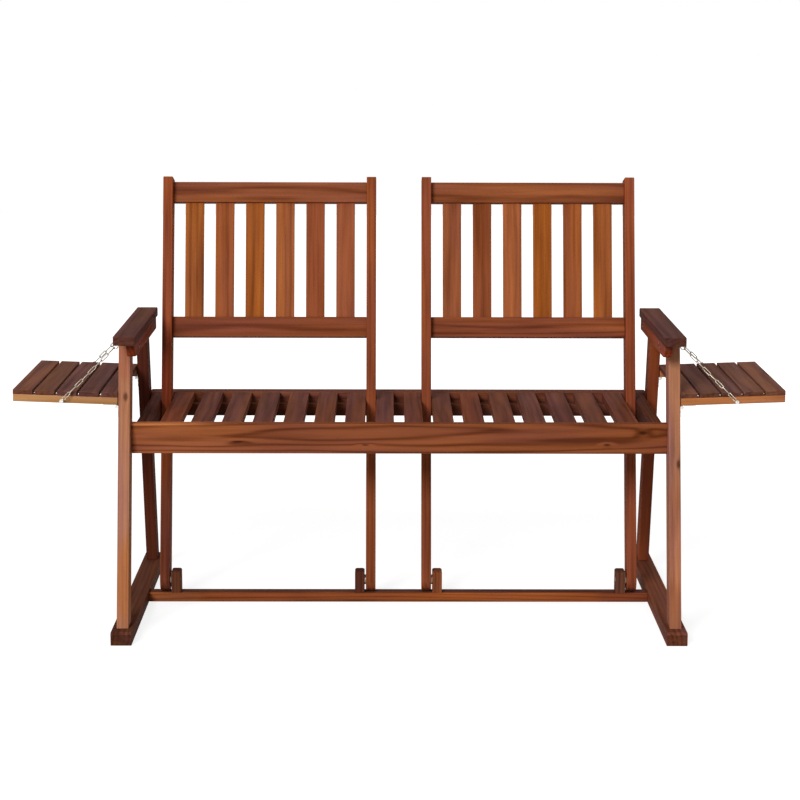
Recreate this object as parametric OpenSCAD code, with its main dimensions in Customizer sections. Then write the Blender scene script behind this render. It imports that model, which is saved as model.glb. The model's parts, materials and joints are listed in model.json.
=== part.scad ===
// Companion seat bench: one slatted seat for two on sledge legs, with two folding backs
// and two small trays that hang on chains outside the armrests.
// X runs along the bench, the front faces -Y, and Z = 0 is the floor.
// The origin is on the floor, half way along the bench and half way along the runners.

/* [Bench] */
// Clear length of the bench between the legs' inner faces
clear_len = 1115; // [1000:5:1400]
// Height of the seat above the floor
seat_h = 436; // [400:1:480]
// Height of the armrests' top above the floor
arm_h = 630; // [600:1:660]

/* [Runners and legs] */
// Length of a runner, front to back
runner_len = 660; // [640:5:760]
// Width of a runner
runner_w = 43; // [36:1:60]
// Height of a runner
runner_h = 28; // [26:1:36]
// Bevel along the runner's top front edge
runner_bevel = 4; // [1:0.5:8]
// Thickness of a leg, across the bench
leg_t = 24; // [22:1:32]
// Depth of a leg, square to its length
leg_d = 48; // [44:1:60]
// Lean of the legs away from upright, in degrees
leg_lean = 13; // [10:0.5:14]
// Front leg's foot, behind the runner's front end
front_foot_in = 28; // [10:1:40]
// Rear leg's foot, before the runner's rear end
rear_foot_in = 24; // [10:1:40]

/* [Arms] */
// Thickness of an armrest
armrest_t = 19; // [17:1:26]
// Width of an armrest
armrest_w = 45.5; // [43:0.5:60]
// Length of an armrest
armrest_len = 439.5; // [430:0.5:460]
// Armrest's front end, behind the runner's front end
armrest_in = 62; // [50:1:75]
// Radius of an armrest's upright corners
armrest_r = 4; // [1:0.5:8]
// Thickness of an arm rail
arm_rail_t = 17.5; // [17:0.5:19]
// Height of an arm rail
arm_rail_h = 29; // [27:1:40]
// Arm rail's front end, behind the armrest's front end
arm_rail_in = 26; // [10:1:40]
// Radius of the arm rail's lower front corner
arm_rail_r = 24; // [5:1:26]

/* [Seat frame] */
// Thickness of the front apron
apron_t = 24; // [23:1:32]
// Height of the front apron
apron_h = 63; // [54:1:80]
// Depth of the rear rail, front to back
rear_rail_d = 40; // [36:1:46]
// Height of the rear rail and of the side rails
side_h = 54; // [48:1:58]
// Thickness of a side rail
side_rail_t = 24; // [20:1:30]
// Gap between a side rail and the legs
side_gap = 9.5; // [6:0.5:14]
// Thickness of a seat slat
slat_t = 18; // [16:1:24]
// Number of seat slats
slat_n = 16; // [16:2:18]
// Length of the stub tenons
tenon_len = 8; // [5:0.5:9]
// Shoulder round each tenon
tenon_shoulder = 4; // [3:0.5:5]

/* [Backs] */
// Lean of the backs away from upright, in degrees
back_lean = 14; // [12:0.5:16]
// Length of a post, from its pivot to its top
post_len = 890; // [800:5:950]
// Thickness of a post, across the bench
post_t = 21; // [18:0.5:24]
// Depth of a post
post_d = 50; // [44:1:54]
// Side play between an outer post and the side rail
post_play = 1.5; // [1:0.5:3]
// Side play of an inner post, at each side, in its seat gap
slat_play = 0.75; // [0.5:0.25:2]
// Gap between an outer post and the first seat slat
edge_gap = 2; // [1:0.25:8]
// Middle of an inner post from the middle of the bench
inner_post_mid = 61; // [56:0.5:66]
// Thickness of a back's rails
back_rail_t = 28; // [22:1:32]
// Height of a back's rails
back_rail_h = 45; // [36:1:50]
// Set-back of the rails behind the posts' front
back_rail_in = 20; // [10:1:21]
// Lower edge of the lower rail, along the post from the pivot
lower_rail_at = 535; // [480:1:580]
// Post left above the top rail
post_horn = 9; // [2:1:30]
// Number of back slats in a back
back_slat_n = 6; // [5:1:7]
// Width of a back slat
back_slat_w = 41; // [36:1:42]
// Thickness of a back slat
back_slat_t = 12; // [10:1:16]
// Space between a post and the first back slat
back_slat_end = 26.5; // [20:0.5:36]
// Depth that a back slat enters each rail
housing = 10; // [6:1:14]

/* [Back stop and pivots] */
// Height of the stop rail under the slats
stop_h = 25; // [25:1:26]
// Depth of the stop rail at its underside
stop_d = 30; // [24:1:36]
// Clearance between the posts and the stop rail
stop_gap = 0.3; // [0.2:0.1:1]
// Pivot axis before the runner's rear end
pivot_in = 315; // [310:1:320]
// Pivot axis above the floor
pivot_h = 48; // [47:0.5:54]
// Thickness of the lower stretcher
stretcher_t = 20; // [20:1:21]
// Depth of the lower stretcher and the pivot blocks
stretcher_d = 34; // [30:1:44]
// Stretcher's clearance above the floor
stretcher_up = 1; // [1:0.5:3]
// Thickness of a pivot block, along the bench
block_t = 21; // [20:0.5:24]
// Pivot block's top above the pivot axis
block_over = 22; // [18:1:30]
// Bevel round a pivot block's top
block_bevel = 4; // [1:0.5:5]
// Thickness of a pivot washer
washer_t = 3; // [2:0.5:5]
// Radius of a pivot washer
washer_r = 11; // [9.5:0.5:14]

/* [Trays] */
// Reach of a tray, from its hinge pin to its outer edge
tray_reach = 214.5; // [180:0.5:260]
// Depth of a tray, front to back
tray_d = 372; // [368:1:374]
// Tray's front edge behind the runner's front end
tray_in = 133; // [132:1:134]
// Upward tilt of a tray at rest, in degrees
tray_tilt = 2; // [0:0.5:4]
// Boards in a tray
tray_board_n = 5; // [4:1:6]
// Thickness of a tray board
tray_board_t = 10; // [9:0.5:14]
// Gap between tray boards
tray_board_gap = 5; // [1:0.5:6]
// Innermost tray board, narrower than the others by
inner_board_less = 6; // [0:0.5:10]
// Height of a batten
batten_h = 15; // [14:1:20]
// Depth of a batten
batten_d = 25; // [23:0.5:27]
// Batten's set-back from the tray's front and rear edges
batten_in = 0.5; // [0.5:0.5:3]
// Tray hinge pins above the floor
hinge_h = 472.5; // [470:0.5:475]

/* [Hinges] */
// Outer radius of a hinge knuckle
knuckle_r = 4; // [3.5:0.25:5]
// Radius of a hinge pin
pin_r = 1.5; // [1.2:0.1:2]
// Thickness of a hinge leaf
leaf_t = 1.5; // [1:0.25:2]
// Height of the leg leaf below the pin
leg_leaf_h = 20; // [16:1:20]
// Reach of the tray leaf from the pin
tray_leaf_w = 28; // [20:1:40]
// Length of a rear hinge along its pin
rear_hinge_len = 14; // [12:0.5:14.5]

/* [Chains] */
// Radius of the chain wire
wire_r = 1; // [0.8:0.1:1.2]
// Outer width of a chain link
link_w = 7; // [6.5:0.5:9]
// Number of links in a chain
chain_links = 8; // [6:2:12]
// Mean radius of a screw eye
eye_r = 5; // [4.5:0.25:6]
// Screw eye's centre away from the leg's side
eye_out = 7.5; // [6.5:0.25:9]
// Screw eye's centre below the leg's top
eye_down = 17; // [14:0.5:22]
// Screw eye's centre inside the leg's outer edge
eye_edge = 7; // [6.5:0.25:9]
// Chain's lower screw, along the tray from the hinge pin
chain_at = 111; // [90:0.5:130]
// Front chain's distance from the tray's front edge
chain_off = 17; // [16.5:0.25:19]
// Rear chain's distance from the tray's rear edge at its lower end
rear_chain_off = 9; // [8.5:0.25:11]

/* [Fasteners] */
// Radius of a bolt's shank
bolt_r = 4; // [3:0.5:4]
// Length of a bolt under its head
bolt_len = 54; // [53:0.5:56]
// Radius of a bolt's domed head
bolt_head_r = 8; // [7:0.5:9]
// Height of a bolt's head
bolt_head_h = 4; // [3:0.5:5]
// Depth of the bolt-head recess in a runner
bolt_sink = 12; // [6:1:16]
// Depth of a pivot's bolt head and nut below the timber's faces
pivot_sink = 1; // [0.5:0.5:2]
// Radius of a wood screw's shank
screw_r = 2.5; // [2:0.25:2.5]
// Whole length of a wood screw
screw_len = 38; // [37:0.5:40]
// Radius of a board screw's shank
board_screw_r = 2; // [1.5:0.25:2.5]
// Clearance round a shank in its hole
hole_play = 0.05; // [0.03:0.01:0.08]
// Clearance round a tenon or a housed end
joint_play = 0.1; // [0.05:0.05:0.2]

/* [Hidden] */
$fn = 64;

slat_names = [for (i = [1 : slat_n]) str("seat_slat_", i < 10 ? "0" : "", i)];

// Colours
dark_wood = "#6b4432";
red_wood = "#a0603a";
gold_wood = "#b07838";
metal = "#b4b6b8";

// Ends: all of these are measured along X from the middle of the bench
leg_in = clear_len / 2;
leg_out = leg_in + leg_t;
leg_mid = leg_in + leg_t / 2;
runner_x = leg_mid - runner_w / 2;
lean_run = tan(leg_lean);
leg_y = leg_d / cos(leg_lean);

// Depths: the runner's front end is at y_front
y_front = -runner_len / 2;
y_rear = runner_len / 2;
leg_top = arm_h - armrest_t;
leg_rise = leg_top - runner_h;
function front_leg_y(z) = y_front + front_foot_in + (z - runner_h) * lean_run;
function rear_leg_y(z) = y_rear - rear_foot_in - (z - runner_h) * lean_run;

// Arms
arm_x0 = leg_out - armrest_w;
arm_y0 = y_front + armrest_in;
arm_rail_x = leg_in - arm_rail_t;
arm_rail_y0 = arm_y0 + arm_rail_in;
arm_rail_y1 = rear_leg_y(leg_top);
arm_rail_z = leg_top - arm_rail_h;

// Seat frame
apron_z = seat_h - apron_h;
apron_y1 = front_leg_y(seat_h - apron_h / 2) + leg_y;
apron_y0 = apron_y1 - apron_t;
side_z = seat_h - side_h;
rear_rail_y1 = rear_leg_y(side_z);
rear_rail_y0 = rear_rail_y1 - rear_rail_d;
side_x1 = leg_in - side_gap;
side_x0 = side_x1 - side_rail_t;
apron_bolt_y = apron_y0 + tenon_len + 1.5;
apron_bolt_z = seat_h - apron_h / 2;
rear_bolt_y = rear_rail_y0 + tenon_len + 8;
rear_bolt_z = side_z + 23;

// Posts and seat slats: the inner posts stand in the gaps either side of the middle pair of slats
outer_post_x1 = side_x0 - post_play;
outer_post_x0 = outer_post_x1 - post_t;
inner_post_x0 = inner_post_mid - post_t / 2;
inner_post_x1 = inner_post_mid + post_t / 2;
slat_gap = post_t + 2 * slat_play;
side_slat_x = inner_post_mid + slat_gap / 2;
slat_pitch = (outer_post_x0 - edge_gap + slat_gap - side_slat_x) / (slat_n / 2 - 1);
side_slat_w = slat_pitch - slat_gap;
middle_slat_w = inner_post_mid - slat_gap;
back_clear = outer_post_x0 - inner_post_x1;

// Pivots and the stop rail
pivot_y = y_rear - pivot_in;
stop_z1 = seat_h - slat_t;
stop_z0 = stop_z1 - stop_h;
function post_rear_y(z) = pivot_y + (z - pivot_h) * tan(back_lean) + post_d / 2 / cos(back_lean);
stop_y1 = post_rear_y(stop_z0) + stop_gap + stop_d;
stretcher_y0 = pivot_y - stretcher_d / 2;
stretcher_z1 = stretcher_up + stretcher_t;
block_top = pivot_h + block_over;
outer_block_x = outer_post_x0 - washer_t - block_t;
inner_block_x = inner_post_x1 + washer_t;
head_gap = 0.3;
head_sink = pivot_sink + bolt_head_h;
nut_h = 6.5;
nut_r = 7.5;
nut_sink = pivot_sink + nut_h;
recess_play = 1;
pivot_bolt_len = post_t + washer_t + block_t - head_sink - pivot_sink;
// From the underside of a pivot bolt's head to its washer and to its nut
washer_at = post_t - head_sink;
nut_at = washer_at + washer_t + block_t - nut_sink;

// A back's rails, from the pivot along the post
top_rail_at = post_len - post_horn - back_rail_h;
back_rail_y = -post_d / 2 + back_rail_in;
back_slat_pitch = (back_clear - 2 * back_slat_end - back_slat_w) / (back_slat_n - 1);
back_slat_y = back_rail_y + (back_rail_t - back_slat_t) / 2;

// Trays: their own frame has its origin on the hinge pin
pin_x = leg_out + knuckle_r;
tray_y0 = y_front + tray_in;
tray_y1 = tray_y0 + tray_d;
tray_edge_in = 2;
knuckle_gap = 0.3;
batten_z0 = knuckle_r + knuckle_gap;
board_z0 = batten_z0 + batten_h;
board_pitch = (tray_reach + tray_edge_in + tray_board_gap + inner_board_less) / tray_board_n;
board_w = board_pitch - tray_board_gap;
front_batten_y = tray_y0 + batten_in;
rear_batten_y1 = tray_y1 - batten_in;
rear_batten_y = rear_batten_y1 - batten_d;
rear_hinge_y = rear_batten_y1 - rear_hinge_len;
pin_head_r = pin_r + 0.7;
pin_head_t = 0.8;

// Chains: from the screw eye in the leg's side down to the chain screw in the batten's face
eye_x = leg_out + eye_out;
eye_z = leg_top - eye_down;
front_eye_y = front_leg_y(eye_z) + eye_edge;
rear_eye_y = rear_leg_y(eye_z) - eye_edge;
chain_screw_z = batten_z0 + batten_h / 2;
chain_x = pin_x + chain_at * cos(tray_tilt) - chain_screw_z * sin(tray_tilt);
chain_z = hinge_h + chain_at * sin(tray_tilt) + chain_screw_z * cos(tray_tilt);
front_chain_y = tray_y0 - chain_off;
rear_chain_y = tray_y1 + rear_chain_off;
link_play = 0.3;
eye_play = 0.5;
link_lead = 3 * wire_r + eye_play;
hook_gap = board_screw_r + link_play;
chain_dx = chain_x - eye_x;
chain_dz = eye_z - chain_z;
chain_slant = atan2(chain_dx, chain_dz);

// Screws: each is sunk until it holds this far in the second piece
foot_hold = 16;
block_hold = 19;
stop_hold = 14;
armrest_hold = 13;
arm_rail_hold = 21.5;
screw_head_h = 3;
screw_head_r = 4.5;
foot_screw_y = 12;
block_screw_y = 9;
board_screw_hold = 7;
chain_screw_hold = 18;
board_screw_head_r = 4;
board_screw_head_h = 2.5;
board_sink = 1.5;
past = 1;

// ---------- helpers ----------

// A shape made for the right side, or its mirror image
module side(s) {
  if (s > 0) children();
  else mirror([1, 0, 0]) children();
}

// A box from its lowest and its highest corner
module block(low, high) {
  translate(low) cube(high - low);
}

// A plate whose outline is in Y and Z, from x to x + t
module yz_plate(x, t, pts) {
  translate([x, 0, 0]) rotate([90, 0, 90]) linear_extrude(t) polygon(pts);
}

// A bolt with its head's underside at the origin and its shank along +Z
module bolt(length = bolt_len) {
  rotate_extrude() polygon([
    [0, -bolt_head_h], [bolt_head_r * 0.6, -bolt_head_h],
    [bolt_head_r, -bolt_head_h * 0.35], [bolt_head_r, 0],
    [bolt_r, 0], [bolt_r, length], [0, length]]);
}

// The hole for a bolt: its mouth is a little before the origin
module bolt_hole(length = bolt_len) {
  translate([0, 0, -past]) cylinder(r = bolt_r + hole_play, h = length + past + 0.5);
}

// The recess round a bolt's head: its mouth is before the head's underside, its floor behind it
module head_recess(mouth, floor = 0) {
  translate([0, 0, -mouth - past])
    cylinder(r = bolt_head_r + recess_play, h = mouth + past + floor);
}

// A wood screw with the top of its head at the origin and its tip at +Z
module screw(r, head_r, head_h, length) {
  rotate_extrude() polygon([
    [0, 0], [head_r, 0], [head_r, head_h * 0.3], [r, head_h],
    [r, length - r], [r * 0.4, length], [0, length]]);
}

module screw_hole(r, head_r, head_h, length, sink) {
  translate([0, 0, -sink - past])
    cylinder(r = head_r + 2 * hole_play, h = sink + past + head_h + 0.2);
  cylinder(r = r + hole_play, h = length + 0.5);
}

module frame_screw() {
  screw(screw_r, screw_head_r, screw_head_h, screw_len);
}

module frame_screw_hole(sink) {
  screw_hole(screw_r, screw_head_r, screw_head_h, screw_len, sink);
}

module board_screw(length) {
  screw(board_screw_r, board_screw_head_r, board_screw_head_h, length);
}

// ---------- where the fasteners go, on the right side ----------

foot_sink = runner_h - (screw_len - foot_hold);
block_sink = stretcher_t - (screw_len - block_hold);
stop_sink = stop_h - (screw_len - stop_hold);
armrest_sink = arm_rail_h - (screw_len - armrest_hold);
arm_rail_sink = arm_rail_t - (screw_len - arm_rail_hold);
front_foot_y = front_leg_y(runner_h) + leg_y / 2;
rear_foot_y = rear_leg_y(runner_h) - leg_y / 2;
arm_joint_z = arm_rail_z + arm_rail_h / 2;
front_arm_y = front_leg_y(arm_joint_z) + leg_y / 2;
rear_arm_y = rear_leg_y(arm_joint_z) - leg_y / 2;
armrest_screw_y = [arm_rail_y0 + 40, rear_leg_y(arm_joint_z) - leg_y - 12];

module at_feet() {
  for (foot = [front_foot_y, rear_foot_y], dy = [-foot_screw_y, foot_screw_y])
    translate([leg_mid, foot + dy, foot_sink]) children();
}

module at_armrest_screws() {
  for (y = armrest_screw_y)
    translate([arm_rail_x + arm_rail_t / 2, y, arm_rail_z + armrest_sink]) children();
}

module at_arm_joints() {
  for (y = [front_arm_y, rear_arm_y], dy = [-9, 9])
    translate([arm_rail_x + arm_rail_sink, y + dy, arm_joint_z + dy * 0.4])
      rotate([0, 90, 0]) children();
}

module at_blocks() {
  for (x = [inner_block_x, outer_block_x], dy = [-block_screw_y, block_screw_y])
    translate([x + block_t / 2, pivot_y + dy, stretcher_up + block_sink]) children();
}

module at_apron_bolt() {
  translate([leg_out, apron_bolt_y, apron_bolt_z]) rotate([0, -90, 0]) children();
}

module at_rear_bolt() {
  translate([leg_out, rear_bolt_y, rear_bolt_z]) rotate([0, -90, 0]) children();
}

module at_stretcher_bolt() {
  translate([runner_x + runner_w - bolt_sink, pivot_y, stretcher_up + stretcher_t / 2])
    rotate([0, -90, 0]) children();
}

// The outer pivot's bolt comes from the post's outer face, the inner one's from its inner face
module at_outer_pivot() {
  translate([outer_post_x1 - head_sink, pivot_y, pivot_h]) rotate([0, -90, 0]) children();
}

module at_inner_pivot() {
  translate([inner_post_x0 + head_sink, pivot_y, pivot_h]) rotate([0, 90, 0]) children();
}

module at_eye(y) {
  translate([eye_x, y, eye_z]) children();
}

module at_eyes() {
  for (y = [front_eye_y, rear_eye_y]) at_eye(y) children();
}

// Slat i of the seat, counted from the left, is number k from the middle
function slat_k(i) = i > slat_n / 2 ? i - slat_n / 2 : slat_n / 2 + 1 - i;
function slat_w(i) = slat_k(i) == 1 ? middle_slat_w : side_slat_w;
function slat_from_middle(k) = k == 1 ? slat_gap / 2 : side_slat_x + (k - 2) * slat_pitch;
// Its left edge
function slat_x(i) = i > slat_n / 2 ? slat_from_middle(slat_k(i))
  : -slat_from_middle(slat_k(i)) - slat_w(i);

module at_stop_screws() {
  for (i = [1 : slat_n])
    translate([slat_x(i) + slat_w(i) / 2, stop_y1 - 13, stop_z0 + stop_sink]) children();
}

// ---------- ends ----------

module runner(s) {
  color(dark_wood) side(s) difference() {
    yz_plate(runner_x, runner_w, [
      [y_front, 0], [y_rear, 0], [y_rear, runner_h],
      [y_front + runner_bevel, runner_h], [y_front, runner_h - runner_bevel]]);
    at_feet() frame_screw_hole(foot_sink);
    at_stretcher_bolt() bolt_hole();
    at_stretcher_bolt() head_recess(bolt_sink);
  }
}

module leg(s, foot_y, lean) {
  color(red_wood) side(s) difference() {
    yz_plate(leg_in, leg_t, [
      [foot_y, runner_h], [foot_y + leg_y, runner_h],
      [foot_y + leg_y + leg_rise * lean, leg_top], [foot_y + leg_rise * lean, leg_top]]);
    at_feet() frame_screw_hole(foot_sink);
    at_arm_joints() frame_screw_hole(arm_rail_sink);
    at_apron_bolt() bolt_hole();
    at_rear_bolt() bolt_hole();
    at_eyes() eye_shank(hole_play, 0.5);
  }
}

module front_leg(s) {
  leg(s, front_leg_y(runner_h), lean_run);
}

module rear_leg(s) {
  leg(s, rear_leg_y(runner_h) - leg_y, -lean_run);
}

module arm_rail(s) {
  color(red_wood) side(s) difference() {
    yz_plate(arm_rail_x, arm_rail_t, concat(
      [[arm_rail_y1, arm_rail_z], [arm_rail_y1, leg_top], [arm_rail_y0, leg_top]],
      [for (a = [180 : 10 : 270])
        [arm_rail_y0 + arm_rail_r * (1 + cos(a)), arm_rail_z + arm_rail_r * (1 + sin(a))]]));
    at_arm_joints() frame_screw_hole(arm_rail_sink);
    at_armrest_screws() frame_screw_hole(armrest_sink);
  }
}

module armrest(s) {
  color(dark_wood) side(s) difference() {
    union() {
      block([arm_x0 + armrest_r, arm_y0, leg_top],
            [leg_out - armrest_r, arm_y0 + armrest_len, arm_h]);
      block([arm_x0, arm_y0 + armrest_r, leg_top],
            [leg_out, arm_y0 + armrest_len - armrest_r, arm_h]);
      for (x = [arm_x0 + armrest_r, leg_out - armrest_r],
           y = [arm_y0 + armrest_r, arm_y0 + armrest_len - armrest_r])
        translate([x, y, leg_top]) cylinder(r = armrest_r, h = armrest_t);
    }
    at_armrest_screws() frame_screw_hole(armrest_sink);
  }
}

// ---------- seat ----------

// The two tenons of a board are the ends of one block that runs through it
tenon_run = rear_rail_y0 - apron_y1 + 2 * tenon_len;

// A board's section less its tenon shoulders, from y on towards +Y
module tenon(x, w, y, z, h, grow, length) {
  block([x + tenon_shoulder - grow, y, z + tenon_shoulder - grow],
        [x + w - tenon_shoulder + grow, y + length, z + h - tenon_shoulder + grow]);
}

module seat_mortises() {
  deep = tenon_len + joint_play;
  for (y = [apron_y1 - deep, rear_rail_y0]) {
    for (i = [1 : slat_n])
      tenon(slat_x(i), slat_w(i), y, stop_z1, slat_t, joint_play, deep);
    for (x = [-side_x1, side_x0])
      tenon(x, side_rail_t, y, side_z, side_h, joint_play, deep);
  }
}

module both_sides() {
  for (s = [-1, 1]) side(s) children();
}

module front_apron() {
  color(red_wood) difference() {
    block([-leg_in, apron_y0, apron_z], [leg_in, apron_y1, seat_h]);
    seat_mortises();
    both_sides() at_apron_bolt() bolt_hole();
  }
}

module rear_rail() {
  color(red_wood) difference() {
    block([-leg_in, rear_rail_y0, side_z], [leg_in, rear_rail_y1, seat_h]);
    seat_mortises();
    both_sides() at_rear_bolt() bolt_hole();
  }
}

module side_rail(s) {
  color(red_wood) side(s) {
    block([side_x0, apron_y1, side_z], [side_x1, rear_rail_y0, seat_h]);
    tenon(side_x0, side_rail_t, apron_y1 - tenon_len, side_z, side_h, 0, tenon_run);
  }
}

module seat_slat(i) {
  color(i % 2 == 0 ? dark_wood : red_wood) difference() {
    union() {
      block([slat_x(i), apron_y1, stop_z1], [slat_x(i) + slat_w(i), rear_rail_y0, seat_h]);
      tenon(slat_x(i), slat_w(i), apron_y1 - tenon_len, stop_z1, slat_t, 0, tenon_run);
    }
    at_stop_screws() frame_screw_hole(stop_sink);
  }
}

// Its front face is bevelled to the posts' lean
module back_stop_rail() {
  color(red_wood) difference() {
    yz_plate(-side_x0, 2 * side_x0, [
      [post_rear_y(stop_z0) + stop_gap, stop_z0], [stop_y1, stop_z0],
      [stop_y1, stop_z1], [post_rear_y(stop_z1) + stop_gap, stop_z1]]);
    at_stop_screws() frame_screw_hole(stop_sink);
  }
}

module lower_stretcher() {
  color(gold_wood) difference() {
    block([-runner_x, stretcher_y0, stretcher_up],
          [runner_x, stretcher_y0 + stretcher_d, stretcher_z1]);
    both_sides() at_stretcher_bolt() bolt_hole();
    both_sides() at_blocks() frame_screw_hole(block_sink);
  }
}

// A pivot bolt's hole with the recesses for its head and its nut
module pivot_hole() {
  bolt_hole(pivot_bolt_len);
  head_recess(head_sink, head_gap);
  translate([0, 0, nut_at]) cylinder(r = nut_r + recess_play, h = nut_sink + past);
}

module pivot_block(x) {
  y1 = stretcher_y0 + stretcher_d;
  difference() {
    intersection() {
      yz_plate(x, block_t, [
        [stretcher_y0, stretcher_z1], [y1, stretcher_z1], [y1, block_top - block_bevel],
        [y1 - block_bevel, block_top], [stretcher_y0 + block_bevel, block_top],
        [stretcher_y0, block_top - block_bevel]]);
      translate([0, y1, 0]) rotate([90, 0, 0]) linear_extrude(stretcher_d) polygon([
        [x, stretcher_z1], [x + block_t, stretcher_z1],
        [x + block_t, block_top - block_bevel], [x + block_t - block_bevel, block_top],
        [x + block_bevel, block_top], [x, block_top - block_bevel]]);
    }
    at_blocks() frame_screw_hole(block_sink);
    at_outer_pivot() pivot_hole();
    at_inner_pivot() pivot_hole();
  }
}

module pivot_blocks() {
  color(gold_wood) both_sides() {
    pivot_block(inner_block_x);
    pivot_block(outer_block_x);
  }
}

// ---------- backs ----------

// A back is drawn upright with its pivot at the origin of Y and Z, then leaned
module leaned() {
  translate([0, pivot_y, pivot_h]) rotate([-back_lean, 0, 0]) children();
}

module unleaned() {
  rotate([back_lean, 0, 0]) translate([0, -pivot_y, -pivot_h]) children();
}

module back_rail(at, grow = 0) {
  deep = tenon_len + grow;
  block([inner_post_x1, back_rail_y, at], [outer_post_x0, back_rail_y + back_rail_t, at + back_rail_h]);
  block([inner_post_x1 - deep, back_rail_y + tenon_shoulder - grow, at + tenon_shoulder - grow],
        [outer_post_x0 + deep, back_rail_y + back_rail_t - tenon_shoulder + grow,
         at + back_rail_h - tenon_shoulder + grow]);
}

module back_slat_row(grow = 0) {
  for (i = [0 : back_slat_n - 1])
    block([inner_post_x1 + back_slat_end + i * back_slat_pitch - grow,
           back_slat_y - grow, lower_rail_at + back_rail_h - housing - grow],
          [inner_post_x1 + back_slat_end + i * back_slat_pitch + back_slat_w + grow,
           back_slat_y + back_slat_t + grow, top_rail_at + housing + grow]);
}

module post(s, x) {
  color(red_wood) side(s) leaned() difference() {
    union() {
      block([x, -post_d / 2, 0], [x + post_t, post_d / 2, post_len]);
      translate([x, 0, 0]) rotate([0, 90, 0]) cylinder(r = post_d / 2, h = post_t);
    }
    back_rail(lower_rail_at, joint_play);
    back_rail(top_rail_at, joint_play);
    unleaned() at_outer_pivot() pivot_hole();
    unleaned() at_inner_pivot() pivot_hole();
  }
}

module rail_of_back(s, at) {
  color(red_wood) side(s) leaned() difference() {
    back_rail(at);
    back_slat_row(joint_play);
  }
}

module back_slats(s) {
  color(gold_wood) side(s) leaned() back_slat_row();
}

// ---------- trays ----------

module tray_frame(s) {
  side(s) translate([pin_x, 0, hinge_h]) rotate([0, -tray_tilt, 0]) children();
}

// Tray boards are counted from the outermost; the innermost is cut off beside the legs
function board_x1(i) = tray_reach - i * board_pitch;
function board_x0(i) = max(board_x1(i) - board_w, -tray_edge_in);

module at_board_screws() {
  for (i = [0 : tray_board_n - 1],
       y = [front_batten_y + batten_d / 2, rear_batten_y + batten_d / 2])
    translate([(board_x0(i) + board_x1(i)) / 2, y, batten_z0 + board_sink]) children();
}

module at_front_chain_screw() {
  translate([chain_at, front_chain_y - chain_screw_head, chain_screw_z])
    rotate([-90, 0, 0]) children();
}

module at_rear_chain_screw() {
  translate([chain_at, rear_chain_y + chain_screw_head, chain_screw_z])
    rotate([90, 0, 0]) children();
}

board_screw_len = batten_h - board_sink + board_screw_hold;
chain_screw_head = wire_r + link_play + board_screw_head_h;
front_chain_screw_len = chain_screw_head + chain_off + batten_in + chain_screw_hold;
rear_chain_screw_len = chain_screw_head + rear_chain_off + batten_in + chain_screw_hold;

module board_screw_hole() {
  screw_hole(board_screw_r, board_screw_head_r, board_screw_head_h, board_screw_len, board_sink);
}

module tray_boards(s) {
  color(dark_wood) tray_frame(s) difference() {
    for (i = [0 : tray_board_n - 1])
      block([board_x0(i), tray_y0, board_z0], [board_x1(i), tray_y1, board_z0 + tray_board_t]);
    at_board_screws() board_screw_hole();
  }
}

module tray_battens(s) {
  color(gold_wood) tray_frame(s) difference() {
    for (y = [front_batten_y, rear_batten_y])
      block([-tray_edge_in, y, batten_z0], [tray_reach - batten_in, y + batten_d, board_z0]);
    at_board_screws() board_screw_hole();
    at_front_chain_screw()
      cylinder(r = board_screw_r + hole_play, h = front_chain_screw_len + 0.5);
    at_rear_chain_screw()
      cylinder(r = board_screw_r + hole_play, h = rear_chain_screw_len + 0.5);
  }
}

module tray_screws(s) {
  color(metal) tray_frame(s) {
    at_board_screws() board_screw(board_screw_len);
    at_front_chain_screw() board_screw(front_chain_screw_len);
    at_rear_chain_screw() board_screw(rear_chain_screw_len);
  }
}

// A knuckle along +Y from y, with the bore for its pin
module knuckle(y, length) {
  difference() {
    translate([0, y + length, 0]) rotate([90, 0, 0]) cylinder(r = knuckle_r, h = length);
    pin_bore(y, length);
  }
}

module pin_bore(y, length) {
  translate([0, y + length + past, 0]) rotate([90, 0, 0])
    cylinder(r = pin_r + hole_play, h = length + 2 * past);
}

module tray_leaf(y, length) {
  third = length / 3;
  difference() {
    union() {
      translate([0, y + 2 * third - knuckle_gap, 0]) rotate([90, 0, 0])
        cylinder(r = knuckle_r, h = third - 2 * knuckle_gap);
      block([0, y + third + knuckle_gap, batten_z0 - leaf_t],
            [knuckle_r + 1, y + 2 * third - knuckle_gap, batten_z0]);
      block([knuckle_r + 1, y, batten_z0 - leaf_t], [tray_leaf_w, y + length, batten_z0]);
    }
    pin_bore(y, length);
  }
}

module tray_leaves(s) {
  color(metal) tray_frame(s) {
    tray_leaf(front_batten_y, batten_d);
    tray_leaf(rear_hinge_y, rear_hinge_len);
  }
}

module leg_leaf(y, length) {
  third = length / 3;
  for (ky = [y, y + 2 * third]) knuckle(ky, third);
  difference() {
    union() {
      for (ky = [y, y + 2 * third])
        block([-knuckle_r, ky, -knuckle_r - 1], [-knuckle_r + leaf_t, ky + third, 0]);
      block([-knuckle_r, y, -leg_leaf_h], [-knuckle_r + leaf_t, y + length, -knuckle_r - 1]);
    }
    pin_bore(y, length);
  }
}

module leg_leaves() {
  color(metal) both_sides() translate([pin_x, 0, hinge_h]) {
    leg_leaf(front_batten_y, batten_d);
    leg_leaf(rear_hinge_y, rear_hinge_len);
  }
}

module hinge_pin(y, length) {
  translate([0, y, 0]) rotate([-90, 0, 0]) rotate_extrude() polygon([
    [0, -pin_head_t], [pin_head_r, -pin_head_t], [pin_head_r, 0], [pin_r, 0],
    [pin_r, length], [pin_head_r, length], [pin_head_r, length + pin_head_t],
    [0, length + pin_head_t]]);
}

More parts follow.
